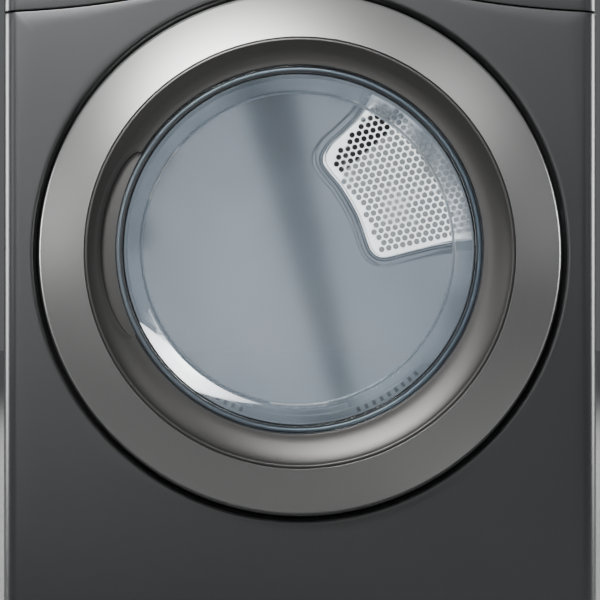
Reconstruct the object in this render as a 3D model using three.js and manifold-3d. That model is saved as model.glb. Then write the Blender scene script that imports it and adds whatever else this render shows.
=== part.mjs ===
// Full-size front-loading clothes dryer, 27 inch class, in millimetres.
// X is to the right, Y goes from the front of the machine to its back, Z is up.
// The origin is on the floor, under the middle of the whole machine.

import * as THREE from 'three';
import { mergeVertices } from 'three/addons/utils/BufferGeometryUtils.js';
import Module from 'manifold-3d';

const wasm = await Module();
wasm.setup();

// ---- Cabinet ---------------------------------------------------------------

const bodyWidth = 686;
const bodyHeight = 984;
const cabinetDepth = 720; // front panel face to rear panel face
const doorProud = 50; // how far the door stands out of the front panel
const collarProud = 30; // how far the exhaust collar stands out of the rear panel
const cornerRadius = 19; // upright front corners
const wrapDepth = 32; // front panel and fascia fold back round the sides by this
const sheet = 1; // cabinet sheet steel
const footHeight = 30; // floor to the underside of the cabinet
const topHeight = 22; // worktop, skirt included
const panHeight = 28; // base pan walls
const seat = 0.3; // clearance between two pieces that seat on each other

// ---- Door ------------------------------------------------------------------

const doorDrop = 11; // door's centre below the drum's axis
const ringInset = 21; // the door ring's radius is this much less than the drum's
const ringGap = 9; // between the door ring and the recess in the front panel
const ringTuck = 6; // the ring's wall narrows by this towards its back
const ringShoulder = 5; // rounded front edge of the ring
const ringFall = 20; // the ring's face slopes back by this from its inner edge
const ringWall = 3;
const faceWidth = 58; // ring's outer edge to the step at its inner edge
const recessDepth = 25; // recess floor behind the front panel's face
const doorBackGap = 6; // door back to recess floor
const dishWidth = 31; // dished band between the step and the rim of the glass bowl
const windowRaise = 4; // the glass sits this far above the door's centre
const windowSink = 12; // glass rim behind the step of the ring
const flangeWidth = 10; // flat rim of the glass bowl
const bowlDepth = 96;
const bowlTaper = 11;
const glassThickness = 5;
const trimWall = 3;
const linerWall = 3;
const bowlClearance = 4; // liner tube round the glass bowl
const gasketThickness = 2.4;
const sealMargin = 5; // the door seal lies this far outside the ring's step
const sealWidth = 10;
const gripWidth = 17; // finger pocket behind the inner edge of the trim
const gripAngle = 29; // half the pocket's arc, in degrees
const gripDepth = 34;
const gripWall = 2;

// ---- Door hinge and latch --------------------------------------------------

const hingeInset = 15; // upright hinge pin inside the ring's edge
const hingeBack = 16; // pin axis in front of the front panel's face
const pinRadius = 3;
const armSpacing = 82; // between the middles of the two hinge arms
const armThickness = 10;
const armWidth = 8;
const eyeRadius = 6.3;
const bossThickness = 9;
const bossGap = 2.5; // hinge arm to the door's pin boss
const bracketPlate = 3;
const latchInset = 35; // latch and door switch inside the ring's edge
const strikeWidth = 6;
const strikeHeight = 14;
const strikeReach = 23;
const catchWall = 4;
const catchSlack = 5; // room round the strike in the catch
const switchAngle = 215; // where the door switch sits round the door, in degrees
const switchRadius = 3;
const switchLength = 18;

// ---- Control fascia --------------------------------------------------------

const fasciaWall = 2.5;
const seamMargin = 13; // metal between the door recess and the crown of the fascia's arch
const seamDrop = 43; // the arch is this much lower at the cabinet's sides
const seamSpread = 200; // half width of the arch
const seamGap = 1.5;
const dialRadius = 30;
const dialDepth = 18;
const dialShaft = 3;
const buttonRadius = 11;
const buttonProud = 2;
const buttonFlange = 2;
const powerX = -95;
const optionX = -165;
const startInset = 73; // start button in from the cabinet's right side
const displayX = 160;
const displayWidth = 130;
const displayHeight = 36;
const displayThickness = 2;
const boardSetback = 10; // fascia's inner face to the control board
const boardThickness = 1.6;
const boardMargin = 14; // board beyond the outermost controls
const boardHeight = 48;

// ---- Drum and bulkheads ----------------------------------------------------

const driveSpace = 238; // floor to the underside of the drum
const drumHeadroom = 110; // top of the drum to the top of the machine
const drumWall = 1;
const drumLip = 18; // folded ends of the drum
const drumSetback = 88; // front panel's face to the drum's front lip
const rearSpace = 64; // rear bulkhead to the rear panel's outer face
const bulkheadGap = 12; // front bulkhead to the drum's front lip
const throatGap = 6.2; // the opening into the drum is this much wider than the glass bowl's rim
const throatWall = 1.5;
const sealFlange = 1.5;
const frontFelt = 9; // felt between the bulkhead's flange and the drum's front lip
const feltReach = 16; // felt behind the drum's front lip
const rearFelt = 2.4;
const rearFeltWidth = 16;
const bulkheadTop = 22; // bulkheads stop this far below the worktop
const baffleCount = 3;
const baffleHeight = 52;
const baffleFoot = 13; // arc of a baffle's foot, in degrees
const baffleCrest = 16; // half width of a baffle's crest
const baffleWall = 3;
const baffleInset = 8; // baffles stop this far from the drum's rear lip and the front felt
const rollerRadius = 38;
const rollerWidth = 24;
const rollerAngle = 40; // from straight down, in degrees
const rollerInset = 7; // rollers inside the drum's ends
const axleRadius = 5;
const lampAngle = 60;
const lampRadius = 18;
const lampDepth = 8;

// ---- Air path --------------------------------------------------------------

const inletInset = 33; // drum wall to the outer edge of the air inlet in the rear bulkhead
const inletPlate = 1.5;
const inletLip = 9; // the inlet plate overlaps its hole by this
const ventPitch = 34;
const ventRadius = 10;
const ductWall = 1.2;
const ductDepth = 44;
const ductMargin = 12; // heater duct beyond the air inlet
const ductDrop = 50; // heater duct below the air inlet
const coilRadius = 4;
const coilPitch = 22;
const filterHalf = 85; // half width of the lint filter
const filterThickness = 5.5;
const filterSink = 8; // top of the filter's screen below the crown of the curved grille
const filterDrop = 150; // height of the lint filter's screen
const gripHalf = 56; // half width of the lint filter's grip
const humpHeight = 18.2; // the lint housing's curved grille stands this far into the throat
const humpLeft = -34; // ends of the curved grille, in degrees from straight down
const humpRight = 48;
const lintWall = 1.8;
const lintMargin = 8; // lint housing beyond the filter's sides
const lintGap = 3.5; // glass bowl to the lint housing
const fanInset = 79; // fan's axis inside the right-hand rollers' axles
const fanZ = 150;
const fanHousing = 105; // radius of the blower housing
const fanDepth = 80;
const fanWall = 2;
const fanInlet = 50;
const fanRadius = 80;
const fanLength = 52;
const fanBlades = 10;
const pipeX = -10;
const pipeZ = 115;
const pipeRadius = 51;
const pipeWall = 1.5;
const pipeSurround = 19; // blower housing round the exhaust outlet

// ---- Drive -----------------------------------------------------------------

const motorRadius = 58;
const motorLength = 150;
const motorGap = 14; // blower housing to the motor
const motorBell = 8; // rounded ends of the motor
const shaftRadius = 6;
const pulleyRadius = 10;
const pulleyWidth = 24;
const pulleyGap = 50; // motor to the belt pulley
const pulleyFlange = 3;
const beltWidth = 12;
const beltThickness = 2;
const idlerRadius = 20;
const idlerAlong = 50; // belt pulley to the idler, along the belt
const pivotLeft = 28; // idler arm's pivot, left of and below the motor's axis
const pivotDrop = 72;
const idlerArmThickness = 4;
const idlerArmHalf = 9;
const idlerPin = 4;
const mountHalf = 52; // half width of the motor's cradle
const mountWall = 4;

// ---- Feet and mains terminals ----------------------------------------------

const footSide = 43; // feet in from the cabinet's sides
const footInset = 48; // feet in from the front and rear panels
const footRadius = 20;
const footPad = 10;
const studRadius = 5;
const studTop = 54;
const nutRadius = 11;
const nutHeight = 8;
const terminalX = 225;
const terminalZ = 150;
const terminalWidth = 90;
const terminalHeight = 60;
const terminalDepth = 20;
const glandLength = 16; // cord gland under the terminal cover
const glandWall = 3;

// ---- Fineness of round shapes ----------------------------------------------

const roundSides = 48;
const smallSides = 12;
const beltSides = 60;

// ---- Places that follow from the sizes -------------------------------------

const overallDepth = doorProud + cabinetDepth + collarProud;
const frontY = doorProud - overallDepth / 2;
const rearY = frontY + cabinetDepth;
const sideX = bodyWidth / 2;
const wrapY = frontY + wrapDepth;
const topZ = bodyHeight - topHeight;
const stepY = frontY - doorProud;
const drumRadius = (bodyHeight - driveSpace - drumHeadroom) / 2;
const drumZ = driveSpace + drumRadius;
const doorZ = drumZ - doorDrop;
const ringRadius = drumRadius - ringInset;
const stepRadius = ringRadius - faceWidth;
const windowRadius = stepRadius - dishWidth;
const throatRadius = windowRadius + throatGap;
const floorY = frontY + recessDepth;
const doorBackY = floorY - doorBackGap;
const recessRadius = ringRadius + ringGap;
const crownZ = doorZ + recessRadius + seamMargin;
const controlZ = (crownZ + topZ) / 2;
const glassZ = doorZ + windowRaise;
const flangeY = stepY + windowSink;
const bowlBackY = flangeY + bowlDepth;
const bowlBase = windowRadius - flangeWidth;
const hingeX = ringRadius - hingeInset;
const hingeY = frontY - hingeBack;
const latchRing = ringRadius - latchInset;
const latchX = -latchRing;
const sealInner = stepRadius + sealMargin;
const sealOuter = sealInner + sealWidth;
const drumFrontY = frontY + drumSetback;
const bulkheadY = drumFrontY - bulkheadGap; // drum side of the front bulkhead
const feltOuter = (drumRadius - drumLip) * Math.cos(Math.PI / roundSides) - seat;
const flangeRadius = feltOuter - frontFelt;
const rearBulkheadY = rearY - rearSpace;
const drumRearY = rearBulkheadY - rearFelt - 2 * seat;
const panFloorZ = footHeight + sheet;
const bulkheadBottomZ = panFloorZ + seat;
const bulkheadTopZ = topZ - bulkheadTop;
const bulkheadHalf = sideX - 2 * sheet - 2 * seat;
const lintFrontY = bowlBackY + lintGap;
const lintBackY = bulkheadY - sheet - seat;
const fanFrontY = bulkheadY + seat;
const fanBackY = fanFrontY + fanDepth;
const motorFrontY = fanBackY + motorGap;
const motorBackY = motorFrontY + motorLength;
const pulleyY = motorBackY + pulleyGap;
const radians = Math.PI / 180;
const rollerReach = drumRadius + rollerRadius + seat;
const rollerX = rollerReach * Math.sin(rollerAngle * radians);
const rollerZ = drumZ - rollerReach * Math.cos(rollerAngle * radians);
const fanX = rollerX - fanInset;
const idlerPivotX = fanX - pivotLeft;
const idlerPivotZ = fanZ - pivotDrop;
const inletRadius = drumRadius - inletInset;
const humpRadius = throatRadius - humpHeight;
const filterTop = glassZ - humpRadius - filterSink;
const footX = sideX - footSide;
const startX = sideX - startInset;

// ---- Making solids ---------------------------------------------------------

/** The closed solid of a geometry, its shared corners merged. */
function solid(geometry) {
  const bare = geometry.clone();
  bare.deleteAttribute('normal');
  bare.deleteAttribute('uv');
  const merged = mergeVertices(bare);
  const corners = merged.index.array;
  const kept = [];
  for (let i = 0; i < corners.length; i += 3) {
    const [a, b, c] = [corners[i], corners[i + 1], corners[i + 2]];
    if (a !== b && b !== c && c !== a) kept.push(a, b, c);
  }
  return new wasm.Manifold(new wasm.Mesh({
    numProp: 3,
    vertProperties: Float32Array.from(merged.attributes.position.array),
    triVerts: Uint32Array.from(kept),
  }));
}

/** All the solids joined into one. */
function join(...parts) {
  return parts.reduce((whole, part) => whole.add(part));
}

/** The first solid with all the others cut out of it. */
function cut(body, ...tools) {
  return tools.reduce((left, tool) => left.subtract(tool), body);
}

/** Box between two corners. */
function block(x0, x1, y0, y1, z0, z1) {
  const box = new THREE.BoxGeometry(x1 - x0, y1 - y0, z1 - z0);
  return solid(box.translate((x0 + x1) / 2, (y0 + y1) / 2, (z0 + z1) / 2));
}

/** Outline of [radius, y] points, turned about an axis along Y through x, z. */
function turned(outline, x = 0, z = 0, sides = roundSides) {
  const points = outline.map(([radius, y]) => new THREE.Vector2(radius, y));
  if (THREE.ShapeUtils.area(points) < 0) points.reverse();
  if (points[0].x > 0) points.push(points[0].clone());
  return solid(new THREE.LatheGeometry(points, sides).translate(x, 0, z));
}

/** Outline of [radius, z] points, turned about the upright axis through x, y. */
function turnedUpright(outline, x = 0, y = 0, sides = smallSides) {
  const points = outline.map(([radius, z]) => new THREE.Vector2(radius, z));
  if (THREE.ShapeUtils.area(points) < 0) points.reverse();
  if (points[0].x > 0) points.push(points[0].clone());
  return solid(new THREE.LatheGeometry(points, sides).rotateX(Math.PI / 2).translate(x, y, 0));
}

/** Round bar along Y. */
function rod(radius, y0, y1, x, z, sides = smallSides) {
  return turned([[0, y0], [radius, y0], [radius, y1], [0, y1]], x, z, sides);
}

/** Round tube along Y. */
function tube(inner, outer, y0, y1, x, z, sides = roundSides) {
  return turned([[inner, y0], [outer, y0], [outer, y1], [inner, y1]], x, z, sides);
}

/** Round bar standing upright. */
function post(radius, z0, z1, x, y, sides = smallSides) {
  return turnedUpright([[0, z0], [radius, z0], [radius, z1], [0, z1]], x, y, sides);
}

/** Flat outline in X and Z, carried along Y. */
function slab(shape, y0, y1, curveSegments = 4) {
  const options = { depth: y1 - y0, bevelEnabled: false, curveSegments };
  return solid(new THREE.ExtrudeGeometry(shape, options).rotateX(Math.PI / 2).translate(0, y1, 0));
}

/** Flat outline in X and Y, carried upwards. */
function raised(shape, z0, z1, curveSegments = 4) {
  const options = { depth: z1 - z0, bevelEnabled: false, curveSegments };
  return solid(new THREE.ExtrudeGeometry(shape, options).translate(0, 0, z0));
}

/** Closed shape through the given corners. */
function polygon(corners) {
  return new THREE.Shape(corners.map(([a, b]) => new THREE.Vector2(a, b)));
}

/** Points on an arc, angles in degrees from +X towards +Z. */
function arc(x, z, radius, from, to, steps) {
  const points = [];
  for (let i = 0; i <= steps; i += 1) {
    const angle = (from + ((to - from) * i) / steps) * radians;
    points.push([x + radius * Math.cos(angle), z + radius * Math.sin(angle)]);
  }
  return points;
}

/** Part of a ring between two radii and two angles, carried along Y. */
function sector(x, z, inner, outer, from, to, y0, y1, steps = 12) {
  const corners = [...arc(x, z, outer, from, to, steps), ...arc(x, z, inner, to, from, steps)];
  return slab(polygon(corners), y0, y1);
}

/** Tight outline round circles given as [x, z, radius], as a belt lies round pulleys. */
function around(circles, sides = 24) {
  const points = circles.flatMap(([x, z, radius]) => arc(x, z, radius, 0, 360, sides).slice(1));
  points.sort((p, q) => p[0] - q[0] || p[1] - q[1]);
  const turn = (o, a, b) => (a[0] - o[0]) * (b[1] - o[1]) - (a[1] - o[1]) * (b[0] - o[0]);
  const half = (list) => {
    const chain = [];
    for (const point of list) {
      while (chain.length > 1 && turn(chain.at(-2), chain.at(-1), point) <= 1e-6) chain.pop();
      chain.push(point);
    }
    return chain.slice(0, -1);
  };
  return polygon([...half(points), ...half([...points].reverse())]);
}

/** The same circles, each smaller by an inset. */
function shrunk(circles, inset) {
  return circles.map(([x, z, radius]) => [x, z, radius - inset]);
}

/** Finish of a piece: colour, roughness and metalness. */
function finish(color, roughness, metalness) {
  return new THREE.MeshStandardMaterial({ color, roughness, metalness });
}

const darkPaint = finish(0x55575a, 0.35, 0.6);
const silverPaint = finish(0xa7a7a5, 0.4, 0.7);
const darkTrim = finish(0x5a5a59, 0.4, 0.6);
const blackPlastic = finish(0x16171a, 0.5, 0);
const greyPlastic = finish(0x6e7277, 0.55, 0);
const whitePlastic = finish(0xd9dbdc, 0.5, 0);
const galvanised = finish(0xb9bfc4, 0.45, 0.8);
const drumSteel = finish(0xc6ccd2, 0.35, 0.9);
const polishedSteel = finish(0xe6ebee, 0.15, 1);
const clearGlass = finish(0x9db2c4, 0.05, 0);
const blackRubber = finish(0x1b1c1e, 0.8, 0);
const greyFelt = finish(0x8c8a84, 0.95, 0);
const copperWire = finish(0xa8927a, 0.4, 0.9);
const boardGreen = finish(0x2f5b40, 0.6, 0);

const dryer = new THREE.Group();

/** Adds one named piece to the machine. */
function add(name, shape, material, group = dryer) {
  const { numProp, vertProperties, triVerts } = shape.getMesh();
  const geometry = new THREE.BufferGeometry();
  geometry.setAttribute('position', new THREE.BufferAttribute(Float32Array.from(vertProperties), numProp));
  geometry.setIndex(new THREE.BufferAttribute(Uint32Array.from(triVerts), 1));
  geometry.computeVertexNormals();
  const mesh = new THREE.Mesh(geometry, material);
  mesh.name = name;
  group.add(mesh);
  return mesh;
}

// ---- Cabinet ---------------------------------------------------------------

/** The cabinet seen from above, drawn in on every side by an inset. */
function cabinetPlan(inset) {
  const side = sideX - inset;
  const front = frontY + inset;
  const back = rearY - inset;
  const radius = cornerRadius - inset;
  const shape = new THREE.Shape();
  shape.moveTo(side, back);
  shape.lineTo(-side, back);
  shape.lineTo(-side, front + radius);
  shape.absarc(-side + radius, front + radius, radius, Math.PI, 1.5 * Math.PI, false);
  shape.lineTo(side - radius, front);
  shape.absarc(side - radius, front + radius, radius, 1.5 * Math.PI, 2 * Math.PI, false);
  shape.closePath();
  return shape;
}

/** Height of the seam between front panel and fascia: a bell curve over the door. */
function seamHeight(x) {
  return crownZ - seamDrop + seamDrop * Math.exp(-((x / seamSpread) ** 2));
}

/** Points along the seam from the right side to the left, moved up by an offset. */
function seamLine(offset, steps = 20) {
  const reach = sideX + wrapDepth;
  const points = [];
  for (let i = 0; i <= steps; i += 1) {
    const x = reach - (2 * reach * i) / steps;
    points.push([x, seamHeight(x) + offset]);
  }
  return points;
}

/** A front skin that folds back round both upright corners, inside an outline in X and Z. */
function wrappedSkin(outline, wall, z0, z1) {
  const shell = cut(raised(cabinetPlan(0), z0, z1), raised(cabinetPlan(wall), z0 - 1, z1 + 1));
  const front = block(-sideX - 1, sideX + 1, frontY - 1, wrapY, z0 - 1, z1 + 1);
  return shell.intersect(front).intersect(slab(outline, frontY - 1, wrapY + 1));
}

function buildCabinet() {
  const reach = sideX + wrapDepth;
  const panelOutline = polygon([[-reach, footHeight], [reach, footHeight], ...seamLine(-seamGap / 2)]);
  const recess = rod(recessRadius + sheet, frontY, floorY + sheet, 0, doorZ, roundSides);
  const recessHollow = rod(recessRadius, frontY - 1, floorY, 0, doorZ, roundSides);
  const collarInner = throatRadius + throatWall + seat;
  const collar = tube(collarInner, collarInner + sheet, floorY + sheet / 2, floorY + 20, 0, glassZ);
  const throat = rod(collarInner, floorY - 1, floorY + 21, 0, glassZ, roundSides);
  const strikeSlot = block(
    latchX - strikeWidth / 2 - catchSlack, latchX + strikeWidth / 2 + catchSlack,
    floorY - 1, floorY + sheet + 1,
    doorZ - strikeHeight / 2 - catchSlack, doorZ + strikeHeight / 2 + catchSlack,
  );
  const [switchX, switchZ] = arc(0, doorZ, latchRing, switchAngle, switchAngle, 1)[0];
  const switchHole = rod(switchRadius + seat, floorY - 1, floorY + sheet + 1, switchX, switchZ);
  const skin = wrappedSkin(panelOutline, sheet, footHeight, crownZ + 1);
  const panel = cut(join(skin, recess), recessHollow, throat, strikeSlot, switchHole);
  add('front_panel', join(panel, collar), darkPaint);

  const sideFrontY = wrapY + seat;
  const sideBackY = rearY - sheet - seat;
  add('side_panel_left', block(-sideX, -sideX + sheet, sideFrontY, sideBackY, footHeight, topZ - seat), darkPaint);
  add('side_panel_right', block(sideX - sheet, sideX, sideFrontY, sideBackY, footHeight, topZ - seat), darkPaint);

  const top = cut(
    raised(cabinetPlan(0), topZ, bodyHeight),
    raised(cabinetPlan(sheet), topZ - 1, bodyHeight - sheet),
  );
  add('top_panel', top, darkPaint);

  const rear = cut(
    block(-sideX, sideX, rearY - sheet, rearY, footHeight, topZ - seat),
    rod(pipeRadius + seat, rearY - sheet - 1, rearY + 1, pipeX, pipeZ, roundSides),
  );
  add('rear_panel', rear, galvanised);

  const studHoles = footPlaces().map(([x, y]) => post(studRadius + seat, footHeight - 1, panFloorZ + 1, x, y));
  const pan = cut(
    raised(cabinetPlan(sheet + seat), footHeight, footHeight + panHeight),
    raised(cabinetPlan(2 * sheet + seat), panFloorZ, footHeight + panHeight + 1),
    ...studHoles,
  );
  add('base_pan', pan, galvanised);

  const terminalBox = block(
    terminalX - terminalWidth / 2, terminalX + terminalWidth / 2,
    rearY + seat, rearY + seat + terminalDepth,
    terminalZ - terminalHeight / 2, terminalZ + terminalHeight / 2,
  );
  const glandRadius = terminalDepth / 2;
  const glandY = rearY + seat + glandRadius;
  const glandZ = terminalZ - terminalHeight / 2 - glandLength;
  const cordGland = post(glandRadius, glandZ, terminalZ, terminalX, glandY);
  const cordEntry = post(glandRadius - glandWall, glandZ - 1, glandZ + 2 * glandLength, terminalX, glandY);
  add('terminal_cover', cut(join(terminalBox, cordGland), cordEntry), galvanised);
}

/** Where the four levelling feet stand. */
function footPlaces() {
  const rows = [frontY + footInset, rearY - footInset];
  return rows.flatMap((y) => [[-footX, y], [footX, y]]);
}

function buildFeet() {
  const outline = [
    [0, 0], [footRadius - 2, 0], [footRadius, 2], [footRadius, footPad], [studRadius, footPad + 3],
    [studRadius, footHeight - seat - nutHeight], [nutRadius, footHeight - seat - nutHeight],
    [nutRadius, footHeight - seat], [studRadius, footHeight - seat], [studRadius, studTop], [0, studTop],
  ];
  const names = ['foot_front_left', 'foot_front_right', 'foot_rear_left', 'foot_rear_right'];
  footPlaces().forEach(([x, y], i) => {
    const foot = add(names[i], turnedUpright(outline), blackRubber);
    foot.position.set(x, y, 0);
  });
}

// ---- Control fascia --------------------------------------------------------

function buildControls() {
  const reach = sideX + wrapDepth;
  const seamLow = crownZ - seamDrop - 1;
  const outline = polygon([...seamLine(seamGap / 2), [-reach, topZ - seat], [reach, topZ - seat]]);
  const innerY = frontY + fasciaWall;
  const buttons = {
    option_button: optionX,
    power_button: powerX,
    start_button: startX,
  };
  const holes = Object.values(buttons).map((x) => rod(buttonRadius + seat, frontY - 1, innerY + 1, x, controlZ));
  const window = block(
    displayX - displayWidth / 2, displayX + displayWidth / 2, frontY - 1, innerY + 1,
    controlZ - displayHeight / 2, controlZ + displayHeight / 2,
  );
  const shaftHole = rod(dialShaft + seat, frontY - 1, innerY + 1, 0, controlZ);
  const skin = wrappedSkin(outline, fasciaWall, seamLow, topZ - seat);
  add('control_fascia', cut(skin, window, shaftHole, ...holes), darkPaint);

  add('display_window', block(
    displayX - displayWidth / 2 + seat, displayX + displayWidth / 2 - seat,
    frontY, frontY + displayThickness,
    controlZ - displayHeight / 2 + seat, controlZ + displayHeight / 2 - seat,
  ), blackPlastic);

  const boardY = innerY + boardSetback;
  const boardLeft = optionX - boardMargin;
  const boardRight = startX + boardMargin;
  const board = block(boardLeft, boardRight, boardY, boardY + boardThickness,
    controlZ - boardHeight / 2, controlZ + boardHeight / 2);
  const spacers = [boardLeft + 6, displayX - displayWidth / 2 - 8, boardRight - 6].flatMap((x) => [-1, 1].map(
    (side) => rod(3, innerY + seat, boardY + boardThickness / 2, x, controlZ + side * (boardHeight / 2 - 5), 8),
  ));
  add('control_board', join(board, ...spacers), boardGreen);

  const buttonOutline = [
    [0, frontY - buttonProud], [buttonRadius - 1, frontY - buttonProud], [buttonRadius, frontY - buttonProud + 1],
    [buttonRadius, innerY + seat], [buttonRadius + 2, innerY + seat],
    [buttonRadius + 2, innerY + seat + buttonFlange], [0, innerY + seat + buttonFlange],
  ];
  for (const [name, x] of Object.entries(buttons)) {
    add(name, turned(buttonOutline, 0, 0, smallSides), silverPaint).position.set(x, 0, controlZ);
  }

  const dialBack = frontY - seat;
  const dialFront = dialBack - dialDepth;
  const dialOutline = [
    [0, dialFront], [dialRadius - 5, dialFront], [dialRadius - 2, dialFront + 2], [dialRadius, dialBack],
    [dialShaft, dialBack], [dialShaft, boardY - seat], [0, boardY - seat],
  ];
  add('cycle_dial', turned(dialOutline, 0, 0, 24), silverPaint).position.set(0, 0, controlZ);
}

// ---- Door ------------------------------------------------------------------

/** Outer outline of the door ring, from its back edge round to the step at its inner edge. */
function ringOutline(inset) {
  return [
    [ringRadius - ringTuck - inset, doorBackY],
    [ringRadius - inset, frontY - ringFall - 2],
    [ringRadius - 1 - inset, stepY + ringFall + 3],
    [ringRadius - ringShoulder - inset, stepY + ringFall + inset],
    [stepRadius + 30, stepY + 5 + inset],
    [stepRadius, stepY + inset],
  ];
}

/** Space inside the door ring that other door pieces stay in. */
function insideRing() {
  const outline = ringOutline(ringWall + 2 * seat);
  return turned([[0, doorBackY], ...outline, [0, stepY + ringWall + 2 * seat]], 0, doorZ);
}

/** Both hinge arm slots, as seen from the door: open to its back and its right side. */
function armSlots() {
  return [-1, 1].map((side) => {
    const z = doorZ + (side * armSpacing) / 2;
    const half = armThickness / 2 + 1;
    return block(hingeX - eyeRadius - 1.5, recessRadius, hingeY - eyeRadius - 2.5, floorY, z - half, z + half);
  });
}

function buildDoor() {
  const outer = ringOutline(0);
  const inner = ringOutline(ringWall).reverse();
  const ring = turned([...outer, ...inner], 0, doorZ);
  add('door_ring', cut(ring, ...armSlots()), silverPaint);

  const trimOuter = stepRadius - seat;
  const trimInner = windowRadius + seat;
  const coneSteps = 3;
  const dish = [];
  for (let i = 0; i <= coneSteps; i += 1) {
    const t = i / coneSteps;
    dish.push([trimOuter + (trimInner - 6 - trimOuter) * t, stepY + windowSink * (1 - (1 - t) ** 2)]);
  }
  const dishBack = dish.map(([radius, y]) => [radius, y + trimWall]).reverse();
  const cone = turned([...dish, ...dishBack], 0, doorZ);
  const windowHole = rod(trimInner, stepY - 1, doorBackY, 0, glassZ, roundSides);
  const gripInner = trimInner + gripWall;
  const gripOuter = gripInner + gripWidth;
  const gripFrom = 180 - gripAngle;
  const gripTo = 180 + gripAngle;
  const pocketFront = stepY + windowSink;
  const pocket = sector(0, glassZ, trimInner + seat, gripOuter + gripWall, gripFrom - 1, gripTo + 1,
    pocketFront, pocketFront + gripDepth);
  const hollow = sector(0, glassZ, gripInner, gripOuter, gripFrom, gripTo,
    stepY - 1, pocketFront + gripDepth - gripWall);
  add('door_trim', cut(join(cut(cone, windowHole), pocket), hollow), darkTrim);

  const bowlBack = bowlBase - bowlTaper;
  const bowl = turned([
    [0, bowlBackY], [bowlBack - 6, bowlBackY], [bowlBack, bowlBackY - 6], [bowlBase, flangeY + glassThickness],
    [windowRadius, flangeY + glassThickness], [windowRadius, flangeY], [bowlBase - glassThickness, flangeY],
    [bowlBack - glassThickness, bowlBackY - 8], [bowlBack - 8, bowlBackY - glassThickness],
    [0, bowlBackY - glassThickness],
  ], 0, glassZ);
  add('door_bowl', bowl, clearGlass);

  const gasketY = flangeY + glassThickness + seat;
  const tubeInner = bowlBase + bowlClearance;
  add('bowl_gasket', tube(bowlBase + 1, windowRadius, gasketY, gasketY + gasketThickness, 0, glassZ), blackRubber);

  const linerFrontY = gasketY + gasketThickness + seat;
  const linerTube = tube(tubeInner, tubeInner + linerWall, linerFrontY, doorBackY, 0, glassZ);
  const linerPlate = rod(ringRadius, doorBackY - linerWall, doorBackY, 0, doorZ, roundSides);
  const plateHole = rod(tubeInner, doorBackY - linerWall - 1, doorBackY + 1, 0, glassZ, roundSides);
  const bosses = [-1, 1].map((side) => {
    const near = doorZ + side * (armSpacing / 2 + armThickness / 2 + bossGap);
    const far = near + side * bossThickness;
    return block(hingeX - 14, hingeX + 12, hingeY - 8, doorBackY - 1, Math.min(near, far), Math.max(near, far));
  });
  const pinHalf = armSpacing / 2 + armThickness / 2 + bossGap + bossThickness;
  const pinHole = post(pinRadius + seat, doorZ - pinHalf - 1, doorZ + pinHalf + 1, hingeX, hingeY);
  const liner = join(cut(linerPlate, plateHole), linerTube, ...bosses).intersect(insideRing());
  add('door_liner', cut(liner, pinHole, ...armSlots()), darkTrim);

  add('door_seal', tube(sealInner, sealOuter, doorBackY + seat, floorY - seat, 0, doorZ), blackRubber);
  add('hinge_pin', post(pinRadius, doorZ - pinHalf, doorZ + pinHalf, hingeX, hingeY), galvanised);

  const strike = join(
    block(latchX - strikeWidth / 2, latchX + strikeWidth / 2, doorBackY + seat, doorBackY + strikeReach,
      doorZ - strikeHeight / 4, doorZ + strikeHeight / 4),
    block(latchX - strikeWidth / 2, latchX + strikeWidth / 2, doorBackY + strikeReach - 8, doorBackY + strikeReach,
      doorZ - strikeHeight / 2, doorZ + strikeHeight / 2),
  );
  add('door_strike', strike, galvanised);
}

function buildDoorFittings() {
  const plateY = floorY - seat;
  const plateHalf = armSpacing / 2 + armThickness;
  const plateRight = Math.sqrt(recessRadius ** 2 - plateHalf ** 2) - 3;
  const plate = block(sealOuter + 8, plateRight, plateY - bracketPlate, plateY, doorZ - plateHalf, doorZ + plateHalf);
  const arms = [-1, 1].map((side) => {
    const z = doorZ + (side * armSpacing) / 2;
    const z0 = z - armThickness / 2;
    const z1 = z + armThickness / 2;
    const leg = block(hingeX - armWidth / 2, hingeX + armWidth / 2, hingeY, plateY - bracketPlate / 2, z0, z1);
    return cut(join(leg, post(eyeRadius, z0, z1, hingeX, hingeY)), post(pinRadius + seat, z0 - 1, z1 + 1, hingeX, hingeY));
  });
  add('hinge_bracket', join(plate, ...arms), galvanised);

  const catchY = floorY + sheet + seat;
  const catchDepth = strikeReach - doorBackGap + catchSlack + catchWall;
  const halfX = strikeWidth / 2 + catchSlack;
  const halfZ = strikeHeight / 2 + catchSlack;
  const catchBody = cut(
    block(latchX - halfX - catchWall, latchX + halfX + catchWall, catchY, catchY + catchDepth,
      doorZ - halfZ - catchWall, doorZ + halfZ + catchWall),
    block(latchX - halfX, latchX + halfX, catchY - 1, catchY + catchDepth - catchWall, doorZ - halfZ, doorZ + halfZ),
  );
  add('latch_catch', catchBody, blackPlastic);

  const [switchX, switchZ] = arc(0, doorZ, latchRing, switchAngle, switchAngle, 1)[0];
  const plunger = rod(switchRadius, doorBackY + seat, doorBackY + seat + switchLength, 0, 0);
  add('door_switch', plunger, whitePlastic).position.set(switchX, 0, switchZ);
}

// ---- Drum and bulkheads ----------------------------------------------------

/** Places of the four drum rollers, with the y where each roller starts. */
function rollerPlaces() {
  const frontStart = drumFrontY + rollerInset;
  const rearStart = drumRearY - rollerInset - rollerWidth;
  return [
    ['front_left', -rollerX, rollerZ, frontStart], ['front_right', rollerX, rollerZ, frontStart],
    ['rear_left', -rollerX, rollerZ, rearStart], ['rear_right', rollerX, rollerZ, rearStart],
  ];
}

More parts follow.
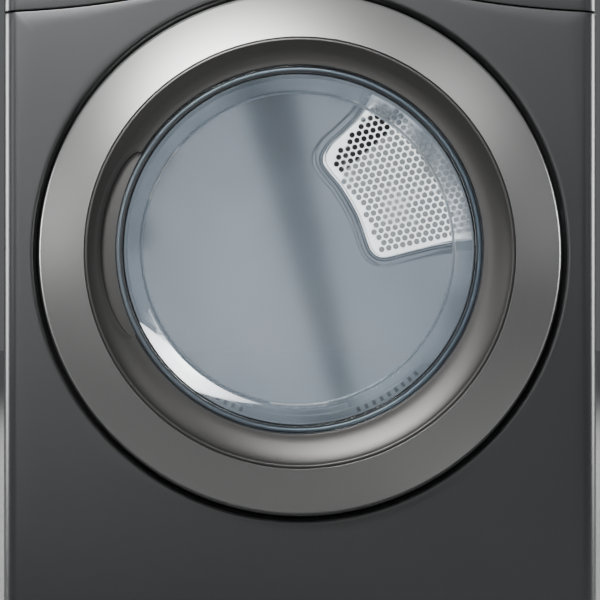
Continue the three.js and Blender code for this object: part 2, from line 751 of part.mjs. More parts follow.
/** Section of a baffle on a foot of the given radius; an inset leaves its foot open. */
function baffleSection(footRing, inset) {
  const crest = footRing - baffleHeight + inset;
  const half = baffleCrest - inset;
  const insetAngle = inset / footRing / radians;
  const from = 90 - baffleFoot / 2 + insetAngle;
  return polygon([
    ...arc(0, 0, footRing + inset, from, 180 - from, 4),
    [-half, crest + baffleCrest], [-half / 2, crest], [half / 2, crest], [half, crest + baffleCrest],
  ]);
}

function buildDrum() {
  const lipRadius = drumRadius - drumLip;
  const inner = drumRadius - drumWall;
  add('drum_shell', turned([
    [lipRadius, drumFrontY], [drumRadius, drumFrontY], [drumRadius, drumRearY], [lipRadius, drumRearY],
    [lipRadius, drumRearY - drumWall], [inner, drumRearY - drumWall],
    [inner, drumFrontY + drumWall], [lipRadius, drumFrontY + drumWall],
  ], 0, drumZ), drumSteel);

  const footRing = inner * Math.cos(Math.PI / roundSides) - seat;
  const baffleFront = drumFrontY + feltReach + baffleInset;
  const baffleBack = drumRearY - baffleInset;
  const baffle = cut(
    slab(baffleSection(footRing, 0), baffleFront, baffleBack),
    slab(baffleSection(footRing, baffleWall), baffleFront + baffleWall, baffleBack - baffleWall),
  );
  for (let i = 0; i < baffleCount; i += 1) {
    const mesh = add(`baffle_${i + 1}`, baffle, whitePlastic);
    mesh.rotation.y = ((i + 0.5) * 2 * Math.PI) / baffleCount;
    mesh.position.set(0, 0, drumZ);
  }
}

function buildBulkheads() {
  const frontY0 = bulkheadY - sheet;
  const tunnelY = floorY + 2 * sheet;
  const blowerHole = rod(fanInlet, frontY0 - 1, bulkheadY + 1, fanX, fanZ, 32);
  const frontPlate = block(-bulkheadHalf, bulkheadHalf, frontY0, bulkheadY, bulkheadBottomZ, bulkheadTopZ);
  const tunnel = tube(throatRadius, throatRadius + throatWall, tunnelY, bulkheadY, 0, glassZ);
  const feltY = drumFrontY + feltReach;
  const flange = tube(flangeRadius - sealFlange, flangeRadius, bulkheadY - sheet / 2, feltY + 2, 0, drumZ);
  const throat = rod(throatRadius, frontY0 - 1, bulkheadY + 1, 0, glassZ, roundSides);
  const housingHalf = filterHalf + lintMargin + seat;
  const ductCut = block(-housingHalf, housingHalf, lintFrontY - seat, frontY0, doorZ - recessRadius, doorZ);
  const front = cut(join(frontPlate, flange), throat, blowerHole);
  add('front_bulkhead', join(front, cut(tunnel, ductCut)), galvanised);
  add('front_seal', tube(flangeRadius + seat, feltOuter, bulkheadY + seat, feltY, 0, drumZ), greyFelt);

  const rearY1 = rearBulkheadY + sheet;
  const rearPlate = block(-bulkheadHalf, bulkheadHalf, rearBulkheadY, rearY1, bulkheadBottomZ, bulkheadTopZ);
  const inletHole = slab(inletShape(inletLip), rearBulkheadY - 1, rearY1 + 1);
  const pipeHole = rod(pipeRadius + seat, rearBulkheadY - 1, rearY1 + 1, pipeX, pipeZ, roundSides);
  add('rear_bulkhead', cut(rearPlate, inletHole, pipeHole), galvanised);
  const feltInner = drumRadius - 1 - rearFeltWidth;
  add('rear_seal', tube(feltInner, drumRadius - 1, drumRearY + seat, rearBulkheadY - seat, 0, drumZ), greyFelt);

  for (const [place, x, z, y] of rollerPlaces()) {
    const roller = add(`roller_${place}`, tube(axleRadius + seat, rollerRadius, 0, rollerWidth, 0, 0, 24), blackRubber);
    roller.position.set(x, y, z);
    const inFront = y < 0;
    const wallY = inFront ? bulkheadY + seat : rearBulkheadY - seat;
    const endY = inFront ? y + rollerWidth + 4 : y - 4;
    const axle = rod(axleRadius, Math.min(wallY, endY), Math.max(wallY, endY), 0, 0);
    add(`roller_axle_${place}`, axle, galvanised).position.set(x, 0, z);
  }

  const lampRing = (throatRadius + flangeRadius) / 2 + windowRaise;
  const [lampX, lampZ] = arc(0, drumZ, lampRing, lampAngle, lampAngle, 1)[0];
  const lens = turned([
    [0, bulkheadY + seat], [lampRadius, bulkheadY + seat], [lampRadius, bulkheadY + lampDepth / 2],
    [lampRadius / 2, bulkheadY + lampDepth], [0, bulkheadY + lampDepth],
  ], 0, 0, smallSides);
  add('drum_lamp_lens', lens, whitePlastic).position.set(lampX, 0, lampZ);
}

// ---- Air path --------------------------------------------------------------

/** Outline of the air inlet: an arc along the drum's rim, drawn in by an inset. */
function inletShape(inset) {
  const rim = arc(0, 0, inletRadius - inset, 5, 66, 12);
  const inward = [[86, 208], [38, 161], [34, 147], [57, 113], [80, 79], [92, 45], [100, 18], [112, 1], [130, -1]];
  const middle = [170, 110];
  const edge = inward.map(([x, z]) => {
    const length = Math.hypot(middle[0] - x, middle[1] - z);
    return [x + ((middle[0] - x) * inset) / length, z + ((middle[1] - z) * inset) / length];
  });
  return polygon([...rim, ...edge].map(([x, z]) => [x, z + drumZ]));
}

/** Middles of the air inlet's holes, in staggered rows inside the plate's open field. */
function ventPlaces() {
  const places = [];
  const rowHeight = (ventPitch * Math.sqrt(3)) / 2;
  const field = inletShape(inletLip + ventRadius + 3).getPoints();
  for (let row = 0; row * rowHeight < inletRadius; row += 1) {
    for (let column = 0; column * ventPitch < inletRadius; column += 1) {
      const x = column * ventPitch + (row % 2) * (ventPitch / 2);
      const z = drumZ + row * rowHeight;
      if (insideOutline(field, x, z)) places.push([x, z]);
    }
  }
  return places;
}

/** Whether a point lies inside a closed outline. */
function insideOutline(points, x, z) {
  let inside = false;
  points.forEach((p, i) => {
    const q = points[(i + points.length - 1) % points.length];
    const crosses = p.y > z !== q.y > z;
    if (crosses && x < ((q.x - p.x) * (z - p.y)) / (q.y - p.y) + p.x) inside = !inside;
  });
  return inside;
}

function buildHeater() {
  const plateY = rearBulkheadY - seat - inletPlate;
  const vents = ventPlaces().map(([x, z]) => rod(ventRadius, plateY - 1, plateY + inletPlate + 1, x, z, 6));
  add('air_inlet_grille', cut(slab(inletShape(0), plateY, plateY + inletPlate), ...vents), polishedSteel);

  const ductY = rearBulkheadY + sheet + seat;
  const left = ductMargin;
  const right = inletRadius + ductMargin;
  const bottom = drumZ - ductDrop;
  const top = drumZ + inletRadius;
  const outer = block(left, right, ductY, ductY + ductDepth, bottom, top);
  const hollow = block(left + ductWall, right - ductWall, ductY - 1, ductY + ductDepth - ductWall,
    bottom - 1, top - ductWall);
  add('heater_duct', cut(outer, hollow), galvanised);

  const coilY = ductY + ductDepth / 2;
  const coilLeft = left + ductWall + seat;
  const coilRight = right - ductWall - seat;
  const runs = [0, 1, 2].map((run) => {
    const z = bottom + coilRadius + 4 + run * coilPitch;
    const bar = rod(coilRadius, 0, coilRight - coilLeft, 0, 0, 8).rotate([0, 0, -90]);
    return bar.translate([coilLeft, coilY, z]);
  });
  const turns = [0, 1].map((turn) => {
    const x = turn === 0 ? coilRight - coilRadius : coilLeft + coilRadius;
    const z = bottom + coilRadius + 4 + turn * coilPitch;
    return post(coilRadius * 0.9, z, z + coilPitch, x, coilY, 8);
  });
  add('heater_coil', join(...runs, ...turns), copperWire);
}

/** Circles that the lint housing's duct wraps: its two top corners, a lower one and the fan inlet. */
function lintCircles() {
  const corner = 10;
  const half = filterHalf + lintMargin;
  const lowZ = filterTop - filterDrop - lintMargin;
  return [
    [-half + corner, filterTop - corner, corner], [half - corner, filterTop - corner, corner],
    [-half + corner, lowZ, corner], [fanX, fanZ, fanInlet + 12],
  ];
}

function buildAirPath() {
  const duct = cut(
    slab(around(lintCircles()), lintFrontY, lintBackY),
    slab(around(shrunk(lintCircles(), lintWall)), lintFrontY + lintWall, lintBackY - lintWall),
  );
  const hump = sector(0, glassZ, humpRadius, throatRadius - seat, 270 + humpLeft, 270 + humpRight,
    lintFrontY, lintBackY, 16);
  const middleY = (lintFrontY + lintBackY) / 2;
  const slotHalf = filterThickness / 2 + seat;
  const filterSlot = block(-filterHalf - seat, filterHalf + seat, middleY - slotHalf, middleY + slotHalf,
    filterTop - filterDrop - seat, doorZ);
  const tunnelWall = tube(throatRadius - seat, throatRadius + throatWall + seat, floorY, bulkheadY + 1, 0, glassZ);
  const beside = filterHalf + lintMargin;
  const besideDuct = cut(tunnelWall, block(-beside, beside, floorY - 1, bulkheadY + 2, doorZ - recessRadius, doorZ));
  const outlet = rod(fanInlet, lintBackY - lintWall - 1, lintBackY + 1, fanX, fanZ, 32);
  add('lint_housing', cut(join(duct, hump), filterSlot, besideDuct, outlet), greyPlastic);

  const screen = block(-filterHalf, filterHalf, middleY - filterThickness / 2, middleY + filterThickness / 2,
    filterTop - filterDrop, filterTop);
  const meshOpenings = [-1, 0, 1].map((column) => {
    const x = (column * 2 * filterHalf) / 3;
    const half = filterHalf / 3 - 5;
    return block(x - half, x + half, middleY - filterThickness, middleY - 0.5,
      filterTop - filterDrop + 8, filterTop - 8);
  });
  const grip = block(-gripHalf, gripHalf, middleY - filterThickness / 2, middleY + filterThickness / 2,
    filterTop - 1, glassZ - humpRadius + 8);
  add('lint_filter', cut(join(screen, grip), ...meshOpenings), greyPlastic);

  const scroll = [[fanX, fanZ, fanHousing], [pipeX, pipeZ, pipeRadius + pipeSurround]];
  const housing = cut(
    slab(around(scroll, 24), fanFrontY, fanBackY),
    slab(around(shrunk(scroll, fanWall), 24), fanFrontY + fanWall, fanBackY - fanWall),
    rod(fanInlet, fanFrontY - 1, fanFrontY + fanWall + 1, fanX, fanZ, 32),
    rod(shaftRadius + 2, fanBackY - fanWall - 1, fanBackY + 1, fanX, fanZ),
    rod(pipeRadius - pipeWall, fanBackY - fanWall - 1, fanBackY + 1, pipeX, pipeZ, 32),
  );
  add('blower_housing', housing, greyPlastic);

  const pipe = tube(pipeRadius - pipeWall, pipeRadius, fanBackY + seat, rearY + collarProud, pipeX, pipeZ, 32);
  add('exhaust_pipe', pipe, galvanised);
}

// ---- Drive -----------------------------------------------------------------

function buildDrive() {
  const middleFan = (fanFrontY + fanBackY) / 2;
  const wheelFront = middleFan - fanLength / 2;
  const wheelBack = middleFan + fanLength / 2;
  const backPlate = rod(fanRadius, wheelBack - 3, wheelBack, fanX, fanZ, 24);
  const hub = rod(shaftRadius + 8, wheelFront + 10, wheelBack, fanX, fanZ);
  const rim = tube(fanRadius - 8, fanRadius, wheelFront, wheelFront + 4, fanX, fanZ, 24);
  const blades = Array.from({ length: fanBlades }, (_, i) => {
    const blade = block(fanRadius - 26, fanRadius - 2, wheelFront + 1, wheelBack - 1, -1, 1);
    return blade.rotate([0, (i * 360) / fanBlades, 0]).translate([fanX, 0, fanZ]);
  });
  const bore = rod(shaftRadius + seat, wheelFront, wheelBack + 1, fanX, fanZ);
  add('blower_wheel', cut(join(backPlate, hub, rim, ...blades), bore), blackPlastic);

  const shaft = turned([
    [0, wheelFront + 8], [shaftRadius, wheelFront + 8], [shaftRadius, pulleyY - pulleyWidth / 2],
    [pulleyRadius + pulleyFlange, pulleyY - pulleyWidth / 2],
    [pulleyRadius + pulleyFlange, pulleyY - pulleyWidth / 2 + 3], [pulleyRadius, pulleyY - pulleyWidth / 2 + 4],
    [pulleyRadius, pulleyY + pulleyWidth / 2 - 4], [pulleyRadius + pulleyFlange, pulleyY + pulleyWidth / 2 - 3],
    [pulleyRadius + pulleyFlange, pulleyY + pulleyWidth / 2], [0, pulleyY + pulleyWidth / 2],
  ], fanX, fanZ, smallSides);
  add('motor_shaft', shaft, galvanised);

  const body = turned([
    [shaftRadius + seat, motorFrontY], [motorRadius - motorBell, motorFrontY],
    [motorRadius, motorFrontY + motorBell], [motorRadius, motorBackY - motorBell],
    [motorRadius - motorBell, motorBackY], [shaftRadius + seat, motorBackY],
  ], fanX, fanZ, 24);
  add('motor_body', body, darkTrim);

  const cradleFront = motorFrontY + 2 * motorBell;
  const bracketY = pulleyY + pulleyWidth / 2 + 12;
  const cradleZ = fanZ - motorRadius + 12;
  const cradle = cut(
    block(fanX - mountHalf, fanX + mountHalf, cradleFront, bracketY, panFloorZ + seat, cradleZ),
    block(fanX - mountHalf + mountWall, fanX + mountHalf - mountWall, cradleFront + mountWall,
      motorBackY - 2 * motorBell, panFloorZ + seat + mountWall, cradleZ + 1),
    block(fanX - mountHalf - 1, fanX + mountHalf + 1, motorBackY - 2 * motorBell + mountWall, bracketY - mountWall,
      panFloorZ + seat + mountWall, cradleZ + 1),
    rod(motorRadius + seat, cradleFront - 1, motorBackY + 1, fanX, fanZ, 24),
  );
  const armY = bracketY - mountWall - seat - idlerArmThickness;
  const pivot = rod(idlerPin, armY - 3, bracketY - 1, idlerPivotX, idlerPivotZ);
  add('motor_mount', join(cradle, pivot), galvanised);

  const flat = Math.cos(Math.PI / beltSides);
  const loopAt = (gap) => [[0, drumZ, (drumRadius + gap) / flat], [fanX, fanZ, (pulleyRadius + gap) / flat]];
  const belt = cut(
    slab(around(loopAt(seat + beltThickness), beltSides), pulleyY - beltWidth / 2, pulleyY + beltWidth / 2),
    slab(around(loopAt(seat), beltSides), pulleyY - beltWidth, pulleyY + beltWidth),
  );
  add('drum_belt', belt, blackRubber);

  const [idlerX, idlerZ] = idlerPlace();
  const idler = turned([
    [idlerPin + seat, -beltWidth / 2 - 3], [idlerRadius, -beltWidth / 2 - 3],
    [idlerRadius, beltWidth / 2 + 3], [idlerPin + seat, beltWidth / 2 + 3],
  ], 0, 0, 24);
  add('idler_pulley', idler, whitePlastic).position.set(idlerX, pulleyY, idlerZ);

  const armOutline = around([[idlerX, idlerZ, idlerArmHalf], [idlerPivotX, idlerPivotZ, idlerArmHalf]], 16);
  const arm = cut(
    slab(armOutline, armY, armY + idlerArmThickness),
    rod(idlerPin + seat, armY - 1, armY + idlerArmThickness + 1, idlerPivotX, idlerPivotZ),
  );
  const idlerAxle = rod(idlerPin, pulleyY - beltWidth / 2 - 5, armY + 1, idlerX, idlerZ);
  add('idler_arm', join(arm, idlerAxle), galvanised);
}

/** Middle of the idler pulley: outside the belt's lower run, touching it. */
function idlerPlace() {
  const [dx, dz] = [fanX, fanZ - drumZ];
  const distance = Math.hypot(dx, dz);
  const lean = Math.acos((drumRadius - pulleyRadius) / distance);
  const normal = Math.atan2(dz, dx) - lean;
  const [nx, nz] = [Math.cos(normal), Math.sin(normal)];
  const out = pulleyRadius + 2 * seat + beltThickness + idlerRadius;
  return [fanX + nx * out + nz * idlerAlong, fanZ + nz * out - nx * idlerAlong];
}

buildCabinet();
buildFeet();
buildControls();
buildDoor();
buildDoorFittings();
buildDrum();
buildBulkheads();
buildHeater();
buildAirPath();
buildDrive();

export default dryer;
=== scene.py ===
"""A full-size front-loading clothes dryer: smooth shells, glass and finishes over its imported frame."""
import math

import bmesh
import bpy
import numpy as np
from bpy.props import FloatProperty, FloatVectorProperty, IntProperty, PointerProperty
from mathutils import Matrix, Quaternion, Vector
from mathutils.geometry import convex_hull_2d, delaunay_2d_cdt


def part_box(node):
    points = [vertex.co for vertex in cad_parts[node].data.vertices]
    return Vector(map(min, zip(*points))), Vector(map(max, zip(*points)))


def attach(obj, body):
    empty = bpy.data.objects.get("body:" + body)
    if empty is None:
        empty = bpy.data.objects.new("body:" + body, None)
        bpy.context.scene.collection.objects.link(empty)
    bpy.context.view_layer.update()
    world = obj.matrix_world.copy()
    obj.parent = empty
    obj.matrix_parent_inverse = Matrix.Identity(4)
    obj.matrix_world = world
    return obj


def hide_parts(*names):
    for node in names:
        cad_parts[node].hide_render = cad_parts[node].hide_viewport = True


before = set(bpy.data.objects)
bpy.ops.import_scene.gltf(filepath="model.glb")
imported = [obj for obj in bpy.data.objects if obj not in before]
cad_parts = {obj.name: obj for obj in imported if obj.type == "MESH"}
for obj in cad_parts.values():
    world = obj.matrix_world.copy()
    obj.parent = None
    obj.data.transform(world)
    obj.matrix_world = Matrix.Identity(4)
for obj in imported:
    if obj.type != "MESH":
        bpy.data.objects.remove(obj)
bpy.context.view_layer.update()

bl_info = {
    "name": "Clothes Dryer",
    "version": (1, 0, 0),
    "blender": (4, 5, 0),
    "location": "3D View > Sidebar > Dryer",
    "description": "Builds the visible pieces of a clothes dryer round its frame",
    "category": "Add Mesh",
}


def span(name):
    """Lowest and highest corner of a frame node, as two arrays."""
    low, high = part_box(name)
    return np.array(low), np.array(high)


def middle_of(name):
    """Middle of a frame node seen from the front, as x and z."""
    low, high = span(name)
    return (low + high)[[0, 2]] / 2


# ---- Places that follow from the frame --------------------------------------

PANEL_LOW, PANEL_HIGH = span("front_panel")
FASCIA_LOW, FASCIA_HIGH = span("control_fascia")
RING_LOW, RING_HIGH = span("door_ring")
BOWL_LOW, BOWL_HIGH = span("door_bowl")
DRUM_LOW, DRUM_HIGH = span("drum_shell")
REAR_LOW, REAR_HIGH = span("rear_panel")
TOP_LOW, TOP_HIGH = span("top_panel")

SIDE_X = PANEL_HIGH[0]
FRONT_Y = FASCIA_LOW[1]
FLOOR_Y = span("door_seal")[1][1] + 0.0003
DOOR = np.array([0.0, (RING_LOW[2] + RING_HIGH[2]) / 2])
GLASS = np.array([-0.0011, (BOWL_LOW[2] + BOWL_HIGH[2]) / 2])
THROAT = np.array([0.0, GLASS[1]])
DRUM = np.array([0.0, (DRUM_LOW[2] + DRUM_HIGH[2]) / 2])
RING_RADIUS = RING_HIGH[0]
STEP_RADIUS = span("door_trim")[1][0]
GLASS_RADIUS = BOWL_HIGH[0]
DRUM_WALL = 0.0012
DRUM_RADIUS = DRUM_HIGH[0]
STEP_Y = RING_LOW[1]
DOOR_BACK_Y = RING_HIGH[1]
TURN = 2 * math.pi


# ---- Sizes and colours -------------------------------------------------------

def length(name, description, default):
    """Size property in metres."""
    return FloatProperty(name=name, description=description, default=default, min=0.0, unit="LENGTH", precision=4)


def colour(name, description, default):
    """Colour property."""
    return FloatVectorProperty(name=name, description=description, default=default, size=3, min=0.0, max=1.0,
                               subtype="COLOR")


class DryerSizes(bpy.types.PropertyGroup):
    """Sizes that the frame leaves open."""

    corner: length("Corner", "Radius of the cabinet's upright front corners", 0.019)
    sheet: length("Sheet", "Thickness of the cabinet's sheet steel", 0.001)
    recess_gap: length("Recess gap", "Black gap between the door ring and the recess", 0.009)
    recess_roll: length("Recess roll", "Radius of the recess's rolled edge", 0.0045)
    seam_gap: length("Seam gap", "Gap between the front panel and the fascia", 0.0015)
    seam_drop: length("Seam drop", "The seam's arch is this much lower at its ends", 0.043)
    seam_spread: length("Seam spread", "Half width of the seam's arch", 0.2)
    ring_fall: length("Ring fall", "The ring's face slopes back by this to its outer edge", 0.020)
    ring_shoulder: length("Ring shoulder", "Radius of the ring's outer edge", 0.004)
    groove: length("Groove", "Width of the fine groove inside the ring's face", 0.0007)
    bevel: length("Bevel", "Width of the bright bevel round the dish", 0.0035)
    dish_sink: length("Dish sink", "Depth of the dish from its bevel to the glass", 0.012)
    pocket_width: length("Pocket width", "Widest part of the finger pocket", 0.0155)
    pocket_depth: length("Pocket depth", "Depth of the finger pocket", 0.0065)
    pocket_angle: FloatProperty(name="Pocket angle", description="Half the arc of the finger pocket",
                                default=math.radians(29.5), subtype="ANGLE")
    bead: length("Drum bead", "Height of the beads round the drum", 0.0028)
    bowl_wall: length("Bowl wall", "Thickness of the glass bowl", 0.0022)
    bowl_corner: length("Bowl corner", "Radius of the bowl's back edge", 0.0016)
    hole_pitch: length("Hole pitch", "Pitch of the holes in the air inlet", 0.0107)
    hole_width: length("Hole width", "Diameter of the holes in the air inlet", 0.0088)
    slot_width: length("Slot width", "Width of a slot in the lint grille", 0.0042)
    slot_head: length("Slot head", "Distance of a slot's upper end from the throat's axis", 0.1985)
    slot_foot: length("Slot foot", "Distance of a slot's lower end from the throat's axis", 0.2045)
    screw_head: length("Screw head", "Width across a hexagonal screw head", 0.008)
    round_steps: IntProperty(name="Round steps", description="Steps in a full turn of the large round pieces",
                             default=256, min=24, max=512)


class DryerColours(bpy.types.PropertyGroup):
    """Colours of the finishes."""

    cabinet: colour("Cabinet", "Metallic dark grey paint", (0.155, 0.157, 0.160))
    ring: colour("Ring", "Silver paint of the door ring", (0.52, 0.52, 0.51))
    dish: colour("Dish", "Warm grey paint of the dished band", (0.172, 0.169, 0.164))
    rim: colour("Rim", "Dark blue print behind the rim of the glass", (0.006, 0.012, 0.018))
    glass: colour("Glass", "Clear glass with a faint blue tint", (0.93, 0.965, 0.99))
    steel: colour("Steel", "Blue-grey sheet steel inside the drum", (0.50, 0.55, 0.60))
    polished: colour("Polished", "Polished plate of the air inlet", (0.95, 0.96, 0.97))
    galvanised: colour("Galvanised", "Zinc coated sheet", (0.52, 0.54, 0.55))
    silver: colour("Silver", "Satin silver of dial and buttons", (0.55, 0.55, 0.55))
    # Also the black of the wall behind the lint grille's slots, which is painted shade.
    black: colour("Black", "Black mouldings and rubber", (0.018, 0.018, 0.02))
    grey: colour("Grey", "Grey mouldings of the air path", (0.23, 0.25, 0.27))
    white: colour("White", "White mouldings", (0.72, 0.73, 0.73))
    felt: colour("Felt", "Grey felt seals", (0.28, 0.27, 0.25))
    board: colour("Board", "Circuit board", (0.02, 0.11, 0.05))
    floor: colour("Floor", "Pale studio floor", (0.57, 0.57, 0.565))
    # Also the black of the sheet behind the air inlet, which is painted shade.
    rim_black: colour("Rim black and shade", "Black inner lip of the rim", (0.008, 0.009, 0.011))
    # Light blue-grey of the rim's bead: partly a real metallic bead, partly a painted highlight for the glint on the
    # glass's rounded edge.
    rim_bead: colour("Rim bead highlight", "Light bead round the glass", (0.20, 0.245, 0.285))
    rear_wall: colour("Rear wall", "Steel behind the drum", (0.186, 0.212, 0.243))
    grille: colour("Grille", "Steel over the lint duct", (0.30, 0.33, 0.36))
    deflector: colour("Deflector", "Sheet behind the air inlet", (0.30, 0.31, 0.32))
    copper: colour("Copper", "Heater wire", (0.35, 0.26, 0.2))


def sizes():
    """Sizes in use."""
    return bpy.context.scene.dryer_sizes


def colours():
    """Colours in use."""
    return bpy.context.scene.dryer_colours


# ---- Meshes as whole arrays ---------------------------------------------------

class Shell:
    """Points and faces of one piece, gathered patch by patch and welded at the end."""

    def __init__(self):
        """Starts with nothing."""
        self.points = []
        self.faces = []
        self.count = 0

    def add(self, points, faces):
        """Adds points and an array of faces that number them from nought."""
        points = np.asarray(points, float).reshape(-1, 3)
        self.points.append(points)
        self.faces.append(np.asarray(faces, int) + self.count)
        self.count += len(points)
        return self

    def grid(self, x, y, z, keep=None, flip=False):
        """Patch of points in rows and columns: each face joins four neighbours, and keep says which faces stay."""
        x, y, z = np.broadcast_arrays(x, y, z)
        index = np.arange(x.size).reshape(x.shape)
        faces = np.stack([index[:-1, :-1], index[:-1, 1:], index[1:, 1:], index[1:, :-1]], -1)
        faces = faces.reshape(-1, 4) if keep is None else faces[keep]
        return self.add(np.stack([x, y, z], -1), faces[:, ::-1] if flip else faces)

    def about(self, axis, radius, y, angle, keep=None):
        """Patch about a line along Y through axis: the axis plus the radius times the angle's cosine and sine."""
        return self.grid(axis[0] + radius * np.cos(angle), y, axis[1] + radius * np.sin(angle), keep)

    def sheet(self, points, triangles, y):
        """Cut sheet at a depth, or at a depth for each of its points."""
        return self.add(np.column_stack([points[:, 0], np.broadcast_to(y, len(points)), points[:, 1]]), triangles)

    def mesh(self, name, wall=0.0, facing=(0, -1, 0), weld=2e-6):
        """Blender mesh of the gathered patches: unused points left out, doubles merged, all faces turned outwards.

        An open sheet gets a wall behind its outer side, which is the side that the face furthest along facing
        turns that way.
        """
        used, corners = np.unique(np.concatenate([faces.ravel() for faces in self.faces]), return_inverse=True)
        points = np.concatenate(self.points)[used]
        sides = np.concatenate([np.full(len(faces), faces.shape[1]) for faces in self.faces])
        mesh = bpy.data.meshes.new(name)
        mesh.vertices.add(len(points))
        mesh.vertices.foreach_set("co", points.ravel())
        mesh.loops.add(len(corners))
        mesh.loops.foreach_set("vertex_index", corners)
        mesh.polygons.add(len(sides))
        mesh.polygons.foreach_set("loop_start", np.cumsum(sides) - sides)
        mesh.update(calc_edges=True)
        work = bmesh.new()
        work.from_mesh(mesh)
        bmesh.ops.remove_doubles(work, verts=work.verts, dist=weld)
        bmesh.ops.recalc_face_normals(work, faces=work.faces[:])
        if wall:
            facing = Vector(facing)
            furthest = max(work.faces, key=lambda face: face.calc_center_median().dot(facing))
            if furthest.normal.dot(facing) < 0:
                bmesh.ops.reverse_faces(work, faces=work.faces[:])
            bmesh.ops.solidify(work, geom=work.faces[:], thickness=wall)
            bmesh.ops.recalc_face_normals(work, faces=work.faces[:])
        work.to_mesh(mesh)
        work.free()
        return mesh


def place(name, shell, body, finish, replaces=(), wall=0.0, facing=(0, -1, 0), sharp=32.0, weld=2e-6):
    """Makes the shell a finished object that rides on a body and stands for the frame nodes it replaces."""
    mesh = shell.mesh(name, wall, facing, weld)
    mesh.materials.append(coat(finish))
    mesh.polygons.foreach_set("use_smooth", np.ones(len(mesh.polygons), bool))
    mesh.set_sharp_from_angle(angle=math.radians(sharp))
    piece = bpy.data.objects.new(name, mesh)
    bpy.context.scene.collection.objects.link(piece)
    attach(piece, body)
    if replaces:
        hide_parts(*replaces)
    return piece


def unit(vector):
    """The vector at length one."""
    return vector / np.linalg.norm(vector)


def filleted(corners, radii, steps=6, closed=True):
    """Outline through corners, where each corner with a radius becomes an arc that touches both its sides.

    The arc starts at radius / tan(half the corner's angle) from the corner, and its points swing from one
    touching point to the other about the centre on the corner's bisector.
    """
    corners = [np.asarray(corner, float) for corner in corners]
    radii = np.broadcast_to(radii, len(corners))
    outline = []
    last = len(corners) - 1
    for i, (corner, radius) in enumerate(zip(corners, radii)):
        if radius <= 0 or (not closed and i in (0, last)):
            outline.append(corner[None])
            continue
        back = unit(corners[i - 1] - corner)
        ahead = unit(corners[(i + 1) % len(corners)] - corner)
        half = math.acos(np.clip(back @ ahead, -1, 1)) / 2
        if half > math.radians(89.5):
            outline.append(corner[None])
            continue
        reach = radius / math.tan(half)
        centre = corner + unit(back + ahead) * radius / math.sin(half)
        start = corner + back * reach - centre
        end = corner + ahead * reach - centre
        swing = math.pi - 2 * half
        share = np.linspace(0, 1, steps + 1)[:, None]
        outline.append(centre + (np.sin((1 - share) * swing) * start + np.sin(share * swing) * end) / math.sin(swing))
    return np.concatenate(outline)


def stepped(outline, near=0.0004, far=0.008):
    """Outline with points added along its long sides, close to their ends and evenly between them."""
    points = []
    for start, end in zip(outline[:-1], outline[1:]):
        long = float(np.linalg.norm(end - start))
        share = [0.0]
        if long > 4 * near:
            share += list(np.linspace(near / long, 1 - near / long, 2 + int(long / far)))
        points.append(start + np.array(share)[:, None] * (end - start))
    return np.concatenate(points + [outline[-1:]])


def box_outline(low, high, radii, steps):
    """Outline of a rectangle between two corners, from its lower right corner upwards, with rounded corners."""
    return filleted([(high[0], low[1]), (high[0], high[1]), (low[0], high[1]), (low[0], low[1])], radii, steps)


def bar(start, end, low, high, radii=0, steps=3):
    """Closed section of a bar from one radius to another and from one depth or height to another."""
    return closed_loop(filleted([(start, low), (end, low), (end, high), (start, high)], radii, steps))


def closed_loop(outline):
    """The outline with its first point repeated at its end."""
    return np.concatenate([outline, outline[:1]])


def ramp(value, low, high):
    """Smooth step: nought below low, one above high, and 3t^2 - 2t^3 between them."""
    share = np.clip((value - low) / (high - low), 0, 1)
    return share * share * (3 - 2 * share)


def turned(shell, profile, axis, steps=None, start=0.0, sweep=TURN):
    """Profile of radii and depths turned about a line along Y through axis."""
    radius, y = np.asarray(profile, float).T
    angle = np.linspace(start, start + sweep, (steps or sizes().round_steps) + 1)[:, None]
    return shell.about(axis, radius, y, angle)


def turned_upright(shell, profile, axis, steps=48):
    """Profile of radii and heights turned about the upright line through axis (x, y)."""
    radius, z = np.asarray(profile, float).T
    angle = np.linspace(0, TURN, steps + 1)[:, None]
    return shell.grid(axis[0] + radius * np.cos(angle), axis[1] + radius * np.sin(angle), z)


def spaced(*stretches):
    """Grid lines from stretches of (start, end, number of steps), without doubles."""
    lines = np.concatenate([np.linspace(a, b, steps + 1) for a, b, steps in stretches])
    return np.unique(np.round(lines, 7))


def round_box(x, z, centre, half, radius):
    """Signed distance to a rectangle with rounded corners: negative inside it."""
    past_x = np.abs(x - centre[0]) - half[0] + radius
    past_z = np.abs(z - centre[1]) - half[1] + radius
    outside = np.hypot(np.maximum(past_x, 0), np.maximum(past_z, 0))
    return outside + np.minimum(np.maximum(past_x, past_z), 0) - radius


def cut_sheet(outline, holes, inner=None):
    """Flat sheet with holes, as points and triangles.

    The outline and every hole are closed rows of points. They are the fixed edges of a triangulation, and
    triangles whose middle falls in a hole are left out.
    """
    loops = [np.asarray(outline, float)] + [np.asarray(hole, float) for hole in holes]
    starts = np.cumsum([0] + [len(loop) for loop in loops])
    edges = [np.stack([np.arange(len(loop)), (np.arange(len(loop)) + 1) % len(loop)], 1) + start
             for loop, start in zip(loops, starts)]
    points = np.concatenate(loops if inner is None else loops + [inner])
    cut = delaunay_2d_cdt([Vector(point) for point in points], np.concatenate(edges).tolist(), [], 0, 1e-7)
    points = np.array([tuple(point) for point in cut[0]])
    triangles = np.array([face for face in cut[2] if len(face) == 3])
    middles = points[triangles].mean(1)
    kept = inside(middles, loops[0])
    for hole in loops[1:]:
        low, high = hole.min(0), hole.max(0)
        near = np.flatnonzero(kept & (middles > low).all(1) & (middles < high).all(1))
        kept[near[inside(middles[near], hole)]] = False
    return points, triangles[kept]


